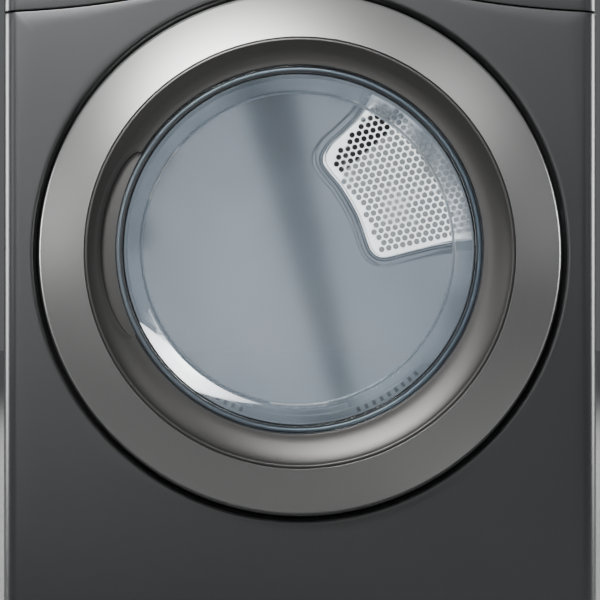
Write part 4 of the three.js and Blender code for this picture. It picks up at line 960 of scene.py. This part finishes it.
def door_rim():
    """Rim behind the edge of the glass: a black inner lip, a light bead and a dark blue band, all turned. The bead's
    light blue-grey is partly a metallic bead that reflects the lamps and partly a painted highlight for the glint along
    the glass's rounded edge.
    """
    low, high = span("bowl_gasket")
    base, rim, back, front = GLASS_RADIUS - 0.0078, GLASS_RADIUS - 0.0003, high[1], low[1]
    lip = filleted([(base + 0.0002, back), (base + 0.0002, front), (base + 0.0018, front), (base + 0.0018, back)],
                   [0, 0.0002, 0.0002, 0], 4)
    bend = np.linspace(math.pi, 0, 13)
    bead = np.column_stack([base + 0.0041 + 0.0021 * np.cos(bend), front + 0.0011 - 0.0011 * np.sin(bend)])
    bead = np.concatenate([[[bead[0, 0], back]], bead, [[bead[-1, 0], back]]])
    band = filleted([(base + 0.0063, back), (base + 0.0063, front + 0.0004), (rim - 0.0008, front),
                     (rim, front + 0.0008), (rim, back)], [0, 0.0003, 0.0003, 0.0002, 0], 4)
    for name, profile, paint, replaced in (("lip", lip, "rim_black", ["bowl_gasket"]), ("bead", bead, "rim_bead", []),
                                           ("band", band, "rim", [])):
        place(f"door_rim_{name}", turned(Shell(), closed_loop(profile), GLASS), "door", paint,
              replaced)


def door_back():
    """Inner face of the door: a pressed plate with a raised rib, the tube round the glass and two hinge bosses."""
    low, high = span("door_liner")
    back, front = high[1], low[1]
    tube_in, tube_out = GLASS_RADIUS - 0.006, GLASS_RADIUS - 0.003
    edge, step = RING_RADIUS - 0.0102, STEP_RADIUS
    profile = filleted([
        (tube_in, front), (tube_out, front), (tube_out, back - 0.006), (step + 0.002, back - 0.004),
        (step + 0.002, back - 0.003), (edge, back - 0.003), (edge, back), (step + 0.022, back),
        (step + 0.020, back - 0.0018), (step - 0.006, back - 0.0018), (step - 0.010, back),
        (tube_in + 0.004, back), (tube_in, back - 0.003)],
        [0.0005, 0.0005, 0.004, 0, 0, 0, 0.001, 0.001, 0.001, 0.001, 0.001, 0.003, 0.002], 5)
    radius, y = closed_loop(profile).T
    shift = (GLASS[1] - DOOR[1]) * ramp(-radius, -STEP_RADIUS, -tube_out)
    angle = np.linspace(0, TURN, sizes().round_steps + 1)[:, None]
    shell = Shell().about((DOOR[0], DOOR[1] + shift), radius, y, angle)
    pin_low, pin_high = span("hinge_pin")
    pin = (pin_low + pin_high)[:2] / 2
    bore, boss, tall = 0.0034, 0.0075, 0.009
    web = closed_loop(np.array([(pin[0] - 0.012, back - 0.001), (pin[0] - 0.005, pin[1] - 0.004),
                                (pin[0] + 0.005, pin[1] + 0.004), (pin[0] + 0.004, back - 0.001)]))
    for side, end in ((-1, pin_low[2]), (1, pin_high[2])):
        foot, head = sorted((end, end - side * tall))
        turned_upright(shell, bar(bore, boss, foot, head, [0, 0.001, 0.001, 0], 4), pin, 32)
        shell.grid(*shrunk(web, (0, 1, 1, 0)), np.array([foot, foot, head, head])[:, None]
                   + np.array([0.001, 0.001, -0.001, -0.001])[:, None])
    place("door_back_plate", shell, "door", "grey", ["door_liner"])
    screws = Shell()
    for angle, (x, z) in zip(np.radians(np.arange(15, 360, 30)), circle(DOOR, RING_RADIUS - 0.019, 12, 15)):
        hex_screw(screws, x, back, z, angle)
    place("door_screws", screws, "door", "galvanised")


def door_gasket():
    """Door seal: a hollow lip that bulges towards the recess's floor."""
    low, high = span("door_seal")
    middle, half = (high[0] + STEP_RADIUS + 0.005) / 2, (high[0] - STEP_RADIUS - 0.005) / 2
    bend = np.linspace(0, TURN, 25)
    section = np.column_stack([middle + half * np.cos(bend),
                               (low[1] + high[1]) / 2 + (high[1] - low[1]) / 2 * np.sin(bend)])
    place("door_gasket", turned(Shell(), section, DOOR, 192), "door", "rubber", ["door_seal"])


# ---- Drum and air path ----------------------------------------------------------

def drum():
    """Drum: a smooth rolled shell with swaged beads and flanged ends."""
    size = sizes()
    front, back = DRUM_LOW[1], DRUM_HIGH[1]
    beads = [front + 0.022, front + 0.17, (front + back) / 2 + 0.02, back - 0.17, back - 0.022]
    y = spaced((front, back, 140), *[(bead - 0.007, bead + 0.007, 10) for bead in beads])
    swell = sum(size.bead * np.exp(-((y - bead) / 0.0045) ** 2) for bead in beads)
    skin = DRUM_RADIUS - size.bead - 0.0002 + swell
    within = (y > front + DRUM_WALL) & (y < back - DRUM_WALL)
    inner = np.column_stack([skin - DRUM_WALL, y])[within][::-1]
    lip = DRUM_RADIUS - 0.013
    profile = closed_loop(np.concatenate([
        np.column_stack([skin, y]), [[lip, back], [lip, back - DRUM_WALL]], inner,
        [[lip, front + DRUM_WALL], [lip, front]]]))
    place("drum_skin", turned(Shell(), profile, DRUM), "drum", "steel", ["drum_shell"])


def baffles():
    """Drum baffles: rows of closed sections, each a rounded ridge over the drum's wall.

    The ridge's height falls smoothly to nought at both sides and at both ends. The section's back is sunk a
    little into the wall, and front and back meet in every edge.
    """
    low, high = span("baffle_2")
    foot, half_width = DRUM_RADIUS - sizes().bead - DRUM_WALL, 0.062
    along = spaced((0, 0.12, 14), (0.12, 0.88, 30), (0.88, 1, 14))[:, None]
    across = np.linspace(-1, 1, 41)
    section = np.concatenate([across, across[::-1][1:]])
    on_top = np.arange(len(section)) < len(across)
    side = section * half_width
    ends = np.minimum(ramp(along, 0, 0.14), ramp(-along, -1, -0.86))
    height = (high[2] - low[2]) * 0.9 * ends * (1 - ramp(np.abs(section), 0.12, 0.98))
    sunk = 0.0008 * np.minimum(1, np.minimum(along * 50, (1 - along) * 50)) * (1 - np.abs(section) ** 8)
    reach = np.sqrt(foot ** 2 - side ** 2) + np.where(on_top, -height, sunk)
    y = low[1] + (high[1] - low[1]) * along
    for number, turn in ((1, 60), (2, 180), (3, 300)):
        angle = math.radians(90 - turn)
        shell = Shell().grid(DRUM[0] + reach * math.cos(angle) - side * math.sin(angle), y,
                             DRUM[1] + reach * math.sin(angle) + side * math.cos(angle))
        place(f"baffle_{number}_skin", shell, "drum", "white", [f"baffle_{number}"])


def wall_outline(low, high):
    """Outline of an inner wall of the cabinet: square below, rounded above."""
    return box_outline(low[[0, 2]], high[[0, 2]], [0.002, 0.02, 0.02, 0.002], 8)


def front_bulkhead():
    """Front bulkhead: a flat plate with holes, the throat's tunnel and the flange that carries the front seal.

    Behind the lint duct's front the tunnel is open over the duct, so it runs round the glass's axis as an arc
    with closed ends.
    """
    low, high = span("front_bulkhead")
    seal = span("front_seal")[1]
    back = span("drum_lamp_lens")[0][1] - 0.0003
    front, edge, middle = back - 0.001, low[1], span("lint_housing")[0][1] - 0.0003
    throat, thick = GLASS_RADIUS + 0.0062, 0.0015
    flange, flange_back = seal[0] - 0.0093, seal[1] + 0.002
    holes = [circle(GLASS, throat, 192), circle(middle_of("motor_body"), 0.050, 64)]
    flange_section = bar(flange - thick, flange, back, flange_back, [0, 0, 0.0007, 0.0007])
    tunnel_section = bar(throat, throat + thick, edge, middle, [0.0007, 0.0007, 0, 0])
    open_half = math.asin(0.0933 / throat)
    start = -math.pi / 2 + open_half
    rest = turned(Shell(), bar(throat, throat + thick, middle, front), GLASS, 200, start, TURN - 2 * open_half)
    for angle in (start, -math.pi / 2 - open_half):
        rest.about(GLASS, np.array([throat, throat + thick]), np.array([[middle], [front]]), angle)
    for name, shell, replaced in (
            ("plate", plate(wall_outline(low, high), holes, front, back), ["front_bulkhead"]),
            ("flange", turned(Shell(), flange_section, DRUM), []),
            ("tunnel", turned(Shell(), tunnel_section, THROAT), []), ("throat", rest, [])):
        place(f"front_bulkhead_{name}", shell, "root", "galvanised", replaced)


def smoothed(corners, spread, spacing=0.002):
    """Closed outline evened out: points at equal spacing, each replaced by a bell-weighted mean of its neighbours."""
    loop = closed_loop(np.asarray(corners, float))
    along = np.concatenate([[0], np.cumsum(np.linalg.norm(np.diff(loop, axis=0), axis=1))])
    count = int(along[-1] / spacing)
    even = np.arange(count) * along[-1] / count
    points = np.stack([np.interp(even, along, loop[:, 0]), np.interp(even, along, loop[:, 1])], 1)
    reach = int(3 * spread / spacing)
    offsets = np.arange(-reach, reach + 1)
    weights = np.exp(-0.5 * (offsets * spacing / spread) ** 2)
    index = (np.arange(count)[:, None] + offsets) % count
    return (points[index] * weights[:, None]).sum(1) / weights.sum()


def grown(outline, reach):
    """Outline moved outwards by reach along its normals."""
    along = np.roll(outline, -1, 0) - np.roll(outline, 1, 0)
    out = np.stack([along[:, 1], -along[:, 0]], 1) / np.linalg.norm(along, axis=1)[:, None]
    return outline + out * reach


def round_the_rim(radius, start, end, inner):
    """Outline in metres from the drum's axis: an arc about it, then inner corners that are given in millimetres."""
    turn = np.radians(np.linspace(start, end, 24))
    arc = radius * np.stack([np.cos(turn), np.sin(turn)], 1)
    return np.concatenate([arc, np.array(inner) / 1000.0])


# Corners in millimetres from the drum's axis: of the inlet plate's inner side, of its field of holes, and of the
# sheet behind it.
INLET_CORNERS = ((100, 228), (86, 207), (60, 182), (44, 168), (34, 152), (34, 140), (46, 124), (60, 108), (74, 86),
                 (86, 64), (94, 44), (100, 24), (106, 9), (116, 0), (128, -1), (160, 7), (200, 17), (240, 24))
FIELD_CORNERS = ((104, 222), (88, 196), (54, 155), (49, 139), (62, 118), (82, 88), (96, 64), (108, 46), (113, 28),
                 (117, 13), (127, 5), (170, 15), (200, 22), (255, 34))
DEFLECTOR_CORNERS = ((16, 90), (66, 128), (168, 218), (252, 235), (290, 150), (290, -30), (16, -30))


def inlet_outline():
    """Outline of the air inlet's plate."""
    rim = span("air_inlet_grille")[1][0] / math.cos(math.radians(5))
    return DRUM + smoothed(round_the_rim(rim, 5.6, 66, INLET_CORNERS), 0.004)


def air_inlet():
    """Air inlet: a polished plate with a turned lattice of round holes, its edge stepped down to the rear wall.

    A grey deflector sheet stands close behind all but the upper left rows of holes, and a black sheet behind that is
    painted shade: it gives those rows the dark of the shaded duct.
    """
    size = sizes()
    low, high = span("air_inlet_grille")
    front, back, thick = low[1], high[1], 0.0009
    outline = inlet_outline()
    inner, slope = grown(outline, -0.004), grown(outline, -0.0015)
    field = DRUM + round_the_rim(0.2735, 7.5, 62, FIELD_CORNERS)
    step = np.arange(-40, 41)
    a, b = [steps.ravel()[:, None] for steps in np.meshgrid(step, step)]
    first, second = [np.array([math.cos(turn), math.sin(turn)]) for turn in np.radians([12.8, 72.8])]
    places = DRUM + (0.0545, 0.1386) + size.hole_pitch * (a * first + b * second)
    holes = [circle(middle, size.hole_width / 2, 12) for middle in places[inside(places, field)]]
    shell = plate(inner, holes, front, front + thick, rim=False)
    loops = np.stack([closed_loop(loop) for loop in (inner, slope, outline, outline, slope, inner)])
    depths = np.array([front, front + 0.0002, front + 0.0008, back, back, front + thick])[:, None]
    shell.grid(loops[..., 0], depths, loops[..., 1])
    place("air_inlet_plate", shell, "root", "polished", ["air_inlet_grille"], weld=1e-6)
    # The black sheet behind the deflector is painted shade: a dark sheet where the duct holds only shade.
    deflector = filleted(DRUM + np.array(DEFLECTOR_CORNERS) / 1000.0, 0.008, 4)
    for name, edge, depth, paint in (("deflector", deflector, 0.0025, "deflector"),
                                     ("painted_shade", grown(outline, 0.004), 0.0200, "rim_black")):
        place(f"air_inlet_{name}", plate(edge, [], back + depth), "root", paint, wall=0.0008)


def rear_wall():
    """Rear bulkhead: a sheet with a hole for the air inlet and one for the exhaust pipe.

    Round the inlet it is pressed: a channel just outside the plate and a low bead further out, both functions of
    the distance to the plate's outline.
    """
    low, high = span("rear_bulkhead")
    pipe_low, pipe_high = span("exhaust_pipe")
    pipe, thick = middle_of("exhaust_pipe"), 0.001
    pipe_hole = circle(pipe, (pipe_high[0] - pipe_low[0]) / 2 + 0.0003, 64)
    outline, inlet = wall_outline(low, high), inlet_outline()
    hole = grown(inlet, -0.009)
    near = [grown(inlet, reach) for reach in (-0.005, -0.001, 0.001, 0.0022, 0.0035, 0.0048, 0.006, 0.0085, 0.010,
                                              0.0115, 0.013, 0.015, 0.017, 0.020)]
    x, z = np.meshgrid(np.linspace(low[0], high[0], 44)[1:-1], np.linspace(low[2], high[2], 58)[1:-1])
    field = np.stack([x.ravel(), z.ravel()], 1)
    clear = ~inside(field, grown(inlet, 0.026)) & (np.hypot(*(field - pipe).T) > 0.058)
    room = (np.abs(field[:, 0]) < high[0] - 0.024) | (field[:, 1] < high[2] - 0.024)
    points, triangles = cut_sheet(outline, [hole, pipe_hole], np.concatenate([field[clear & room]] + near))
    pressed = pressed_depth(points, inlet)
    shell = Shell()
    for back in (0.0, thick):
        shell.sheet(points, triangles, low[1] + back + pressed)
    for loop in (outline, hole, pipe_hole):
        loop = closed_loop(loop)
        shell.grid(loop[:, 0], low[1] + pressed_depth(loop, inlet) + np.array([[0.0], [thick]]), loop[:, 1])
    place("rear_wall_sheet", shell, "root", "rear_wall", ["rear_bulkhead"])


def pressed_depth(points, outline):
    """Depth of the pressed channel and bead at points, by their distance to the inlet's outline."""
    step = np.roll(outline, -1, 0) - outline
    close = ((points > outline.min(0) - 0.025) & (points < outline.max(0) + 0.025)).all(1)
    chosen = points[close][:, None]
    share = ((chosen - outline) * step).sum(2) / (step ** 2).sum(1)
    spot = outline + np.clip(share, 0, 1)[..., None] * step
    away = np.full(len(points), 1.0)
    away[close] = np.linalg.norm(chosen - spot, axis=2).min(1)
    channel = 0.0022 * np.exp(-((away - 0.0028) / 0.0018) ** 4)
    bead = 0.0009 * np.exp(-((away - 0.0115) / 0.0018) ** 2)
    return np.where(inside(points, outline), 0.0, channel - bead)


def lint_duct():
    """Lint duct: a flat box behind the front wall, open in its roof, whose outline is the hull of circles."""
    low, high = span("lint_housing")
    filter_low, filter_high = span("lint_filter")
    filter_foot, half = filter_low[2], filter_high[0] + 0.008
    fan, top = middle_of("motor_body"), filter_foot + 0.150
    rounds = [((-half + 0.01, top - 0.01), 0.01), ((half - 0.01, top - 0.01), 0.01),
              ((-half + 0.01, filter_foot - 0.008), 0.01), (fan, 0.062)]
    points = np.concatenate([circle(middle, radius, 48) for middle, radius in rounds])
    outline = points[convex_hull_2d([Vector(point) for point in points])]
    shell = Shell().sheet(*cut_sheet(outline, []), low[1])
    shell.sheet(*cut_sheet(outline, [circle(fan, 0.050, 64)]), high[1])
    loop = closed_loop(outline)
    roof = loop[:, 1] > top - 0.0001
    shell.grid(loop[:, 0], np.array([[low[1]], [high[1]]]), loop[:, 1], keep=~(roof[:-1] & roof[1:])[None, :])
    place("lint_duct", shell, "root", "grey", ["lint_housing"], 0.002)


def lint_grille():
    """Lint grille: a curved wall that follows the throat, on a grid over angle and section.

    It is open at its slots in front and at the slit for the lint filter in its crown. A black wall stands close
    behind its front; it is painted shade, a dark sheet that gives the slots the dark of the shaded duct.
    """
    size = sizes()
    low, high = span("lint_housing")
    filter_low, filter_high = span("lint_filter")
    crown, foot = GLASS_RADIUS - 0.012, GLASS_RADIUS + 0.0059
    front, back = low[1] + 0.0001, high[1] - 0.0002
    slit = (filter_low[1] - 0.0004, filter_high[1] + 0.0004)
    nose = filleted([(foot, front), (crown, front), (crown, slit[0])], [0, 0.0012, 0], 4, closed=False)
    section = np.concatenate([nose[:1], [[size.slot_foot, front], [size.slot_head, front]], nose[1:],
                              [[crown, slit[1]], [crown, back], [foot, back]]])
    slots = np.radians(np.concatenate([-29.2 + 2.9 * np.arange(4), 20.4 + 2.9 * np.arange(9)]))
    open_half = size.slot_width / 2 / size.slot_head
    filter_half = math.asin((filter_high[0] + 0.0003) / crown)
    angle = spaced((math.radians(-34), math.radians(48), 120), (-filter_half, filter_half, 2),
                   *[(middle - open_half, middle + open_half, 2) for middle in slots])
    between = ((angle[1:] + angle[:-1]) / 2)[:, None]
    radius, depth = (section[1:] + section[:-1]).T / 2
    near = 1e-5
    in_slot = (radius < size.slot_foot) & (radius > size.slot_head) & (depth < front + near)
    in_slit = (np.abs(radius - crown) < near) & (depth > slit[0]) & (depth < slit[1])
    slotted = (np.abs(between - slots) < open_half - near).any(1)[:, None]
    shut = ~((slotted & in_slot) | ((np.abs(between) < filter_half) & in_slit))
    grille = Shell().about(THROAT, section[:, 0], section[:, 1], angle[:, None] - math.pi / 2, shut)
    place("lint_grille", grille, "root", "grille", wall=0.0012)
    # The black wall below is painted shade: it stands right behind the slots, where only the dark of the duct would
    # show.
    front += 0.0014
    behind = bar(crown + 0.0014, foot - 0.0003, front, front + 0.0008)
    turn = np.radians(np.pad(np.linspace(-33.6, 47.6, 101), 1, "edge"))[:, None]
    shade_wall = Shell().about(THROAT, *shrunk(behind, np.pad(np.ones(101), 1)), turn - math.pi / 2)
    place("lint_grille_painted_shade", shade_wall, "root", "black")


def lint_filter():
    """Lint filter: a frame with three fine screens, and a curved grip along its top."""
    low, high = span("lint_filter")
    front, back = low[1] + 0.0001, high[1] - 0.0001
    top, rail = low[2] + 0.150, 0.008

    def rectangle(left, right, foot, head, steps):
        """Outline of an upright rectangle with rounded corners."""
        return filleted([(left, foot), (right, foot), (right, head), (left, head)], 0.004, steps)

    third = (high[0] - low[0]) / 3
    windows = [rectangle(column * third - third / 2 + 0.005, column * third + third / 2 - 0.005, low[2] + rail,
                         top - rail, 4) for column in (-1, 0, 1)]
    place("lint_filter_frame", plate(rectangle(low[0], high[0], low[2], top, 5), windows, front, back), "lint_filter",
          "grey", ["lint_filter"])

    middle = (front + back) / 2
    screen = rounded_plate(Shell(), ((low[0] + high[0]) / 2, (low[2] + top) / 2),
                           (high[0] - 0.004, (top - low[2]) / 2 - 0.004), 0.004, middle + 0.0003, middle - 0.0003,
                           0.0002)
    place("lint_filter_screen", screen, "lint_filter", "screen")

    crown, foot = GLASS_RADIUS - 0.0192, GLASS_RADIUS - 0.003
    half = math.asin(0.056 / crown)
    section = closed_loop(filleted([(foot, back), (foot, front), (crown, front), (crown, back)],
                                   [0, 0, 0.0018, 0.0018], 5))
    share = np.pad(np.linspace(-1, 1, 41), 2, "edge")[:, None]
    scale = np.concatenate([[0.0, 0.7], np.ones(41), [0.7, 0.0]])
    nose = np.concatenate([[0.0008, 0.0005], np.zeros(41), [0.0005, 0.0008]])[:, None]
    turn = share * half + np.sign(share) * nose - math.pi / 2
    place("lint_filter_grip", Shell().about(THROAT, *shrunk(section, scale), turn), "lint_filter", "grille")


# ---- Feet and carried-over pieces -------------------------------------------------

def feet():
    """Levelling feet: each a turned pad and stud with a hexagonal lock nut."""
    stud, thread, pitch = 0.0046, 0.0006, 0.0015
    for corner in ("front_left", "front_right", "rear_left", "rear_right"):
        name = f"foot_{corner}"
        low, high = span(name)
        axis, pad, top = (low + high)[:2] / 2, (high[0] - low[0]) / 2, high[2]
        crests = np.arange(0.020, top - 0.001, pitch)
        wave = np.stack([np.full(len(crests), stud), crests, np.full(len(crests), stud - thread),
                         crests + pitch / 2], 1).reshape(-1, 2)
        base = filleted([(0, 0), (pad, 0), (pad, 0.009), (0.009, 0.013), (stud, 0.0135), (stud, 0.0195)],
                        [0, 0.002, 0.004, 0.002, 0, 0], 6, closed=False)
        profile = np.concatenate([base, wave, [[stud - 0.001, top], [0, top]]])
        shell = turned_upright(Shell(), profile, axis, 48)
        nut = [(0, 0.0140), (0.0085, 0.0140), (0.0092, 0.0148), (0.0092, 0.0192), (0.0085, 0.0200), (0, 0.0200)]
        turned_upright(shell, nut, axis, 6)
        place(f"{name}_pad", shell, name, "black", [name])


SLOT_FINISHES = {
    "dark_paint": "cabinet", "fascia_paint": "cabinet", "ring_paint": "ring", "trim_paint": "dish", "glass": "glass",
    "black_rubber": "rubber", "felt": "felt", "galvanised": "galvanised", "drum_steel": "steel",
    "polished_steel": "polished", "white_plastic": "white", "grey_plastic": "grey", "black_plastic": "black",
    "control_silver": "silver", "heater_wire": "copper", "motor_shell": "galvanised", "circuit_board": "board",
}


def carried_over():
    """Gives every frame node that is still shown the finish of its slot."""
    for frame_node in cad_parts.values():
        if not frame_node.hide_render:
            for slot in frame_node.material_slots:
                slot.material = coat(SLOT_FINISHES[slot.material.name.split(".")[0]])


# ---- Stage ---------------------------------------------------------------------------

def lamp(name, place_at, aim, energy, size, spread=180, seen=True):
    """Area lamp with its place, the point it faces, its power, its width and height, and its spread in degrees."""
    data = bpy.data.lights.new(name, "AREA")
    data.shape = "RECTANGLE"
    data.size, data.size_y = size
    data.energy = energy
    data.spread = math.radians(spread)
    light = bpy.data.objects.new(name, data)
    light.location = place_at
    light.rotation_mode = "QUATERNION"
    light.rotation_quaternion = (Vector(aim) - Vector(place_at)).to_track_quat("-Z", "Y")
    light.visible_camera = False
    light.visible_transmission = seen
    bpy.context.scene.collection.objects.link(light)
    return light


def camera():
    """Camera level with the middle of the machine, straight on to its front.

    Its focal length follows from its distance to the front, which is far / wide times the width of its sensor.
    """
    sensor, far, wide = 36.0, 2.200, 0.6894
    data = bpy.data.cameras.new("camera")
    data.sensor_width = sensor
    data.lens = sensor * far / wide
    data.dof.use_dof = False
    data.clip_start, data.clip_end = 0.05, 50.0
    eye = bpy.data.objects.new("camera", data)
    eye.location = (0.0, -2.550, 0.492)
    eye.rotation_euler = (math.pi / 2, 0.0, 0.0)
    bpy.context.scene.collection.objects.link(eye)
    bpy.context.scene.camera = eye


def floor():
    """Studio floor: one wide square."""
    reach = 16.0
    mesh = bpy.data.meshes.new("studio_floor")
    mesh.from_pydata([(-reach, -reach, 0), (reach, -reach, 0), (reach, reach, 0), (-reach, reach, 0)], [],
                     [(0, 1, 2, 3)])
    mesh.materials.append(coat("floor"))
    ground = bpy.data.objects.new("studio_floor", mesh)
    bpy.context.scene.collection.objects.link(ground)


def sky():
    """World: an even pale light."""
    world = bpy.data.worlds.new("studio_world")
    bpy.context.scene.world = world
    world.use_nodes = True
    backdrop = world.node_tree.nodes["Background"]
    backdrop.inputs["Color"].default_value = (0.80, 0.83, 0.86, 1.0)
    backdrop.inputs["Strength"].default_value = 0.14


# Per lamp: its name, its place, the point it faces, its power, its width and height, and its spread in degrees.
LAMPS = (
    ("key_lamp", (-0.75, -3.0, 2.75), (-0.05, -0.35, 1.22), 18.5, (4.1, 1.5), 33),
    ("front_card", (-1.1, -5.2, 0.80), (0, -0.35, 0.50), 1.3, (4.6, 2.4), 38),
    ("floor_wash", (-0.2, -2.1, 1.5), (-0.2, -2.1, 0), 4.0, (3.0, 1.0), 50),
    ("left_card", (-3.1, -2.9, 1.2), (0, -0.35, 0.85), 0.30, (1.2, 1.4), 36),
    ("right_card", (3.0, -2.9, 1.2), (0, -0.35, 0.85), 0.07, (1.2, 1.4), 36),
    ("upper_card", (1.7, -3.0, 2.35), (0.2, -0.39, 0.82), 0.22, (1.2, 1.1), 30),
    ("left_softbox", (-2.5, 0.1, 0.95), (-0.3, -0.15, 0.72), 3.2, (1.4, 1.7), 30),
    ("right_softbox", (2.5, 0.3, 0.95), (0.3, -0.15, 0.72), 2.6, (1.2, 1.7), 30),
    ("top_lamp", (0, 0.5, 3.4), (0, 0.15, 0.95), 2.0, (2.0, 1.2), 50),
    ("back_lamp", (1.6, 3.4, 2.6), (0, 0.37, 0.5), 9, (2.0, 1.6), 60),
    ("back_wash", (0, 3.6, 3.4), (0, 3.6, 0), 60, (6.0, 3.0), 100),
    ("left_wash", (-3.2, 1.4, 2.8), (-3.2, 1.4, 0), 14, (1.6, 3.4), 70),
    ("right_wash", (3.2, 1.4, 2.8), (3.2, 1.4, 0), 14, (1.6, 3.4), 70),
)
# Per group of upright lamps inside the drum: its side, its lean in degrees, where it starts and ends across the
# drum, and its power over a square metre.
DRUM_LAMPS = (("left", 16.8, -0.296, -0.0146, 6.75), ("right", 11.0, 0.0474, 0.296, 6.55))


def studio():
    """Floor, world and lamps: those round the machine, one for the glint on the glass, and those in the drum."""
    floor()
    sky()
    for row in LAMPS:
        lamp(*row)
    glint = Vector((0.0225, 0.284, 0.600))
    lamp("glint_lamp", glint, glint + Vector((-0.226, -0.939, -0.261)), 0.00056, (0.033, 0.029), 24)
    reach, steps, lamp_y, aim_y = DRUM_RADIUS - 0.006, 4, -0.05, 0.3
    for side, lean, start, end, power in DRUM_LAMPS:
        turn = math.radians(lean)
        edges = np.linspace(start, end, steps + 1)
        for number, (low, high) in enumerate(zip(edges[:-1], edges[1:])):
            tall = 2 * math.sqrt(reach ** 2 - max(abs(low), abs(high)) ** 2)
            x, z = (low + high) / 2 * math.cos(turn), DRUM[1] + (low + high) / 2 * math.sin(turn)
            light = lamp(f"drum_lamp_{side}_{number}", (x, lamp_y, z), (x, aim_y, z), power * (high - low) * tall,
                         (high - low, tall), seen=False)
            light.rotation_quaternion = light.rotation_quaternion @ Quaternion((0, 0, 1), turn)


# ---- Add-on -----------------------------------------------------------------------

def built(*makers):
    """Runs the makers of an operator's pieces in order and gives its result; an error in one is passed on."""
    for make in makers:
        make()
    return {"FINISHED"}


class Build:
    """Shared by all the building steps."""

    bl_options = {"REGISTER", "UNDO"}


class DRYER_OT_stage(Build, bpy.types.Operator):
    """Makes the camera, the floor and the lamps."""

    bl_idname = "dryer.stage"
    bl_label = "Stage"

    def execute(self, context):
        """Makes the camera before all else."""
        return built(camera, studio)


class DRYER_OT_cabinet(Build, bpy.types.Operator):
    """Makes the front panel, fascia, worktop, side panels, rear panel and feet."""

    bl_idname = "dryer.cabinet"
    bl_label = "Cabinet"

    def execute(self, context):
        """Makes the pieces in order."""
        return built(front_panel, fascia, worktop, side_panels, rear_panel, feet)


class DRYER_OT_controls(Build, bpy.types.Operator):
    """Makes the display, the dial and the push buttons."""

    bl_idname = "dryer.controls"
    bl_label = "Controls"

    def execute(self, context):
        """Makes the pieces in order."""
        return built(display, buttons, dial)


class DRYER_OT_door(Build, bpy.types.Operator):
    """Makes the door: ring, dished trim, glass bowl, rim, back plate and seal."""

    bl_idname = "dryer.door"
    bl_label = "Door"

    def execute(self, context):
        """Makes the pieces in order."""
        return built(door_ring, door_trim, door_glass, door_rim, door_back, door_gasket)


class DRYER_OT_drum(Build, bpy.types.Operator):
    """Makes the drum, its baffles, both bulkheads, the air inlet and the lint grille."""

    bl_idname = "dryer.drum"
    bl_label = "Drum and air path"

    def execute(self, context):
        """Makes the pieces in order."""
        return built(drum, baffles, front_bulkhead, rear_wall, air_inlet, lint_duct, lint_grille, lint_filter)


class DRYER_OT_mechanics(Build, bpy.types.Operator):
    """Gives the pieces that are kept from the frame their finishes."""

    bl_idname = "dryer.mechanics"
    bl_label = "Kept pieces"

    def execute(self, context):
        """Gives each kept piece its finish."""
        return built(carried_over)


STEPS = (DRYER_OT_stage, DRYER_OT_cabinet, DRYER_OT_controls, DRYER_OT_door, DRYER_OT_drum, DRYER_OT_mechanics)


class DRYER_PT_panel(bpy.types.Panel):
    """Lists the building steps in the sidebar."""

    bl_label = "Clothes Dryer"
    bl_idname = "DRYER_PT_panel"
    bl_space_type = "VIEW_3D"
    bl_region_type = "UI"
    bl_category = "Dryer"

    def draw(self, context):
        """Draws one button per step."""
        for step in STEPS:
            self.layout.operator(step.bl_idname)


CLASSES = (DryerSizes, DryerColours, *STEPS, DRYER_PT_panel)


def register():
    """Registers the add-on and attaches its settings to the scene."""
    for owned in CLASSES:
        bpy.utils.register_class(owned)
    bpy.types.Scene.dryer_sizes = PointerProperty(type=DryerSizes)
    bpy.types.Scene.dryer_colours = PointerProperty(type=DryerColours)


def unregister():
    """Takes the add-on's settings and classes away again."""
    del bpy.types.Scene.dryer_colours
    del bpy.types.Scene.dryer_sizes
    for owned in reversed(CLASSES):
        bpy.utils.unregister_class(owned)


def main():
    """Registers the add-on and builds everything."""
    register()
    for step in STEPS:
        getattr(bpy.ops.dryer, step.bl_idname.split(".")[1])()


if __name__ == "__main__":
    main()
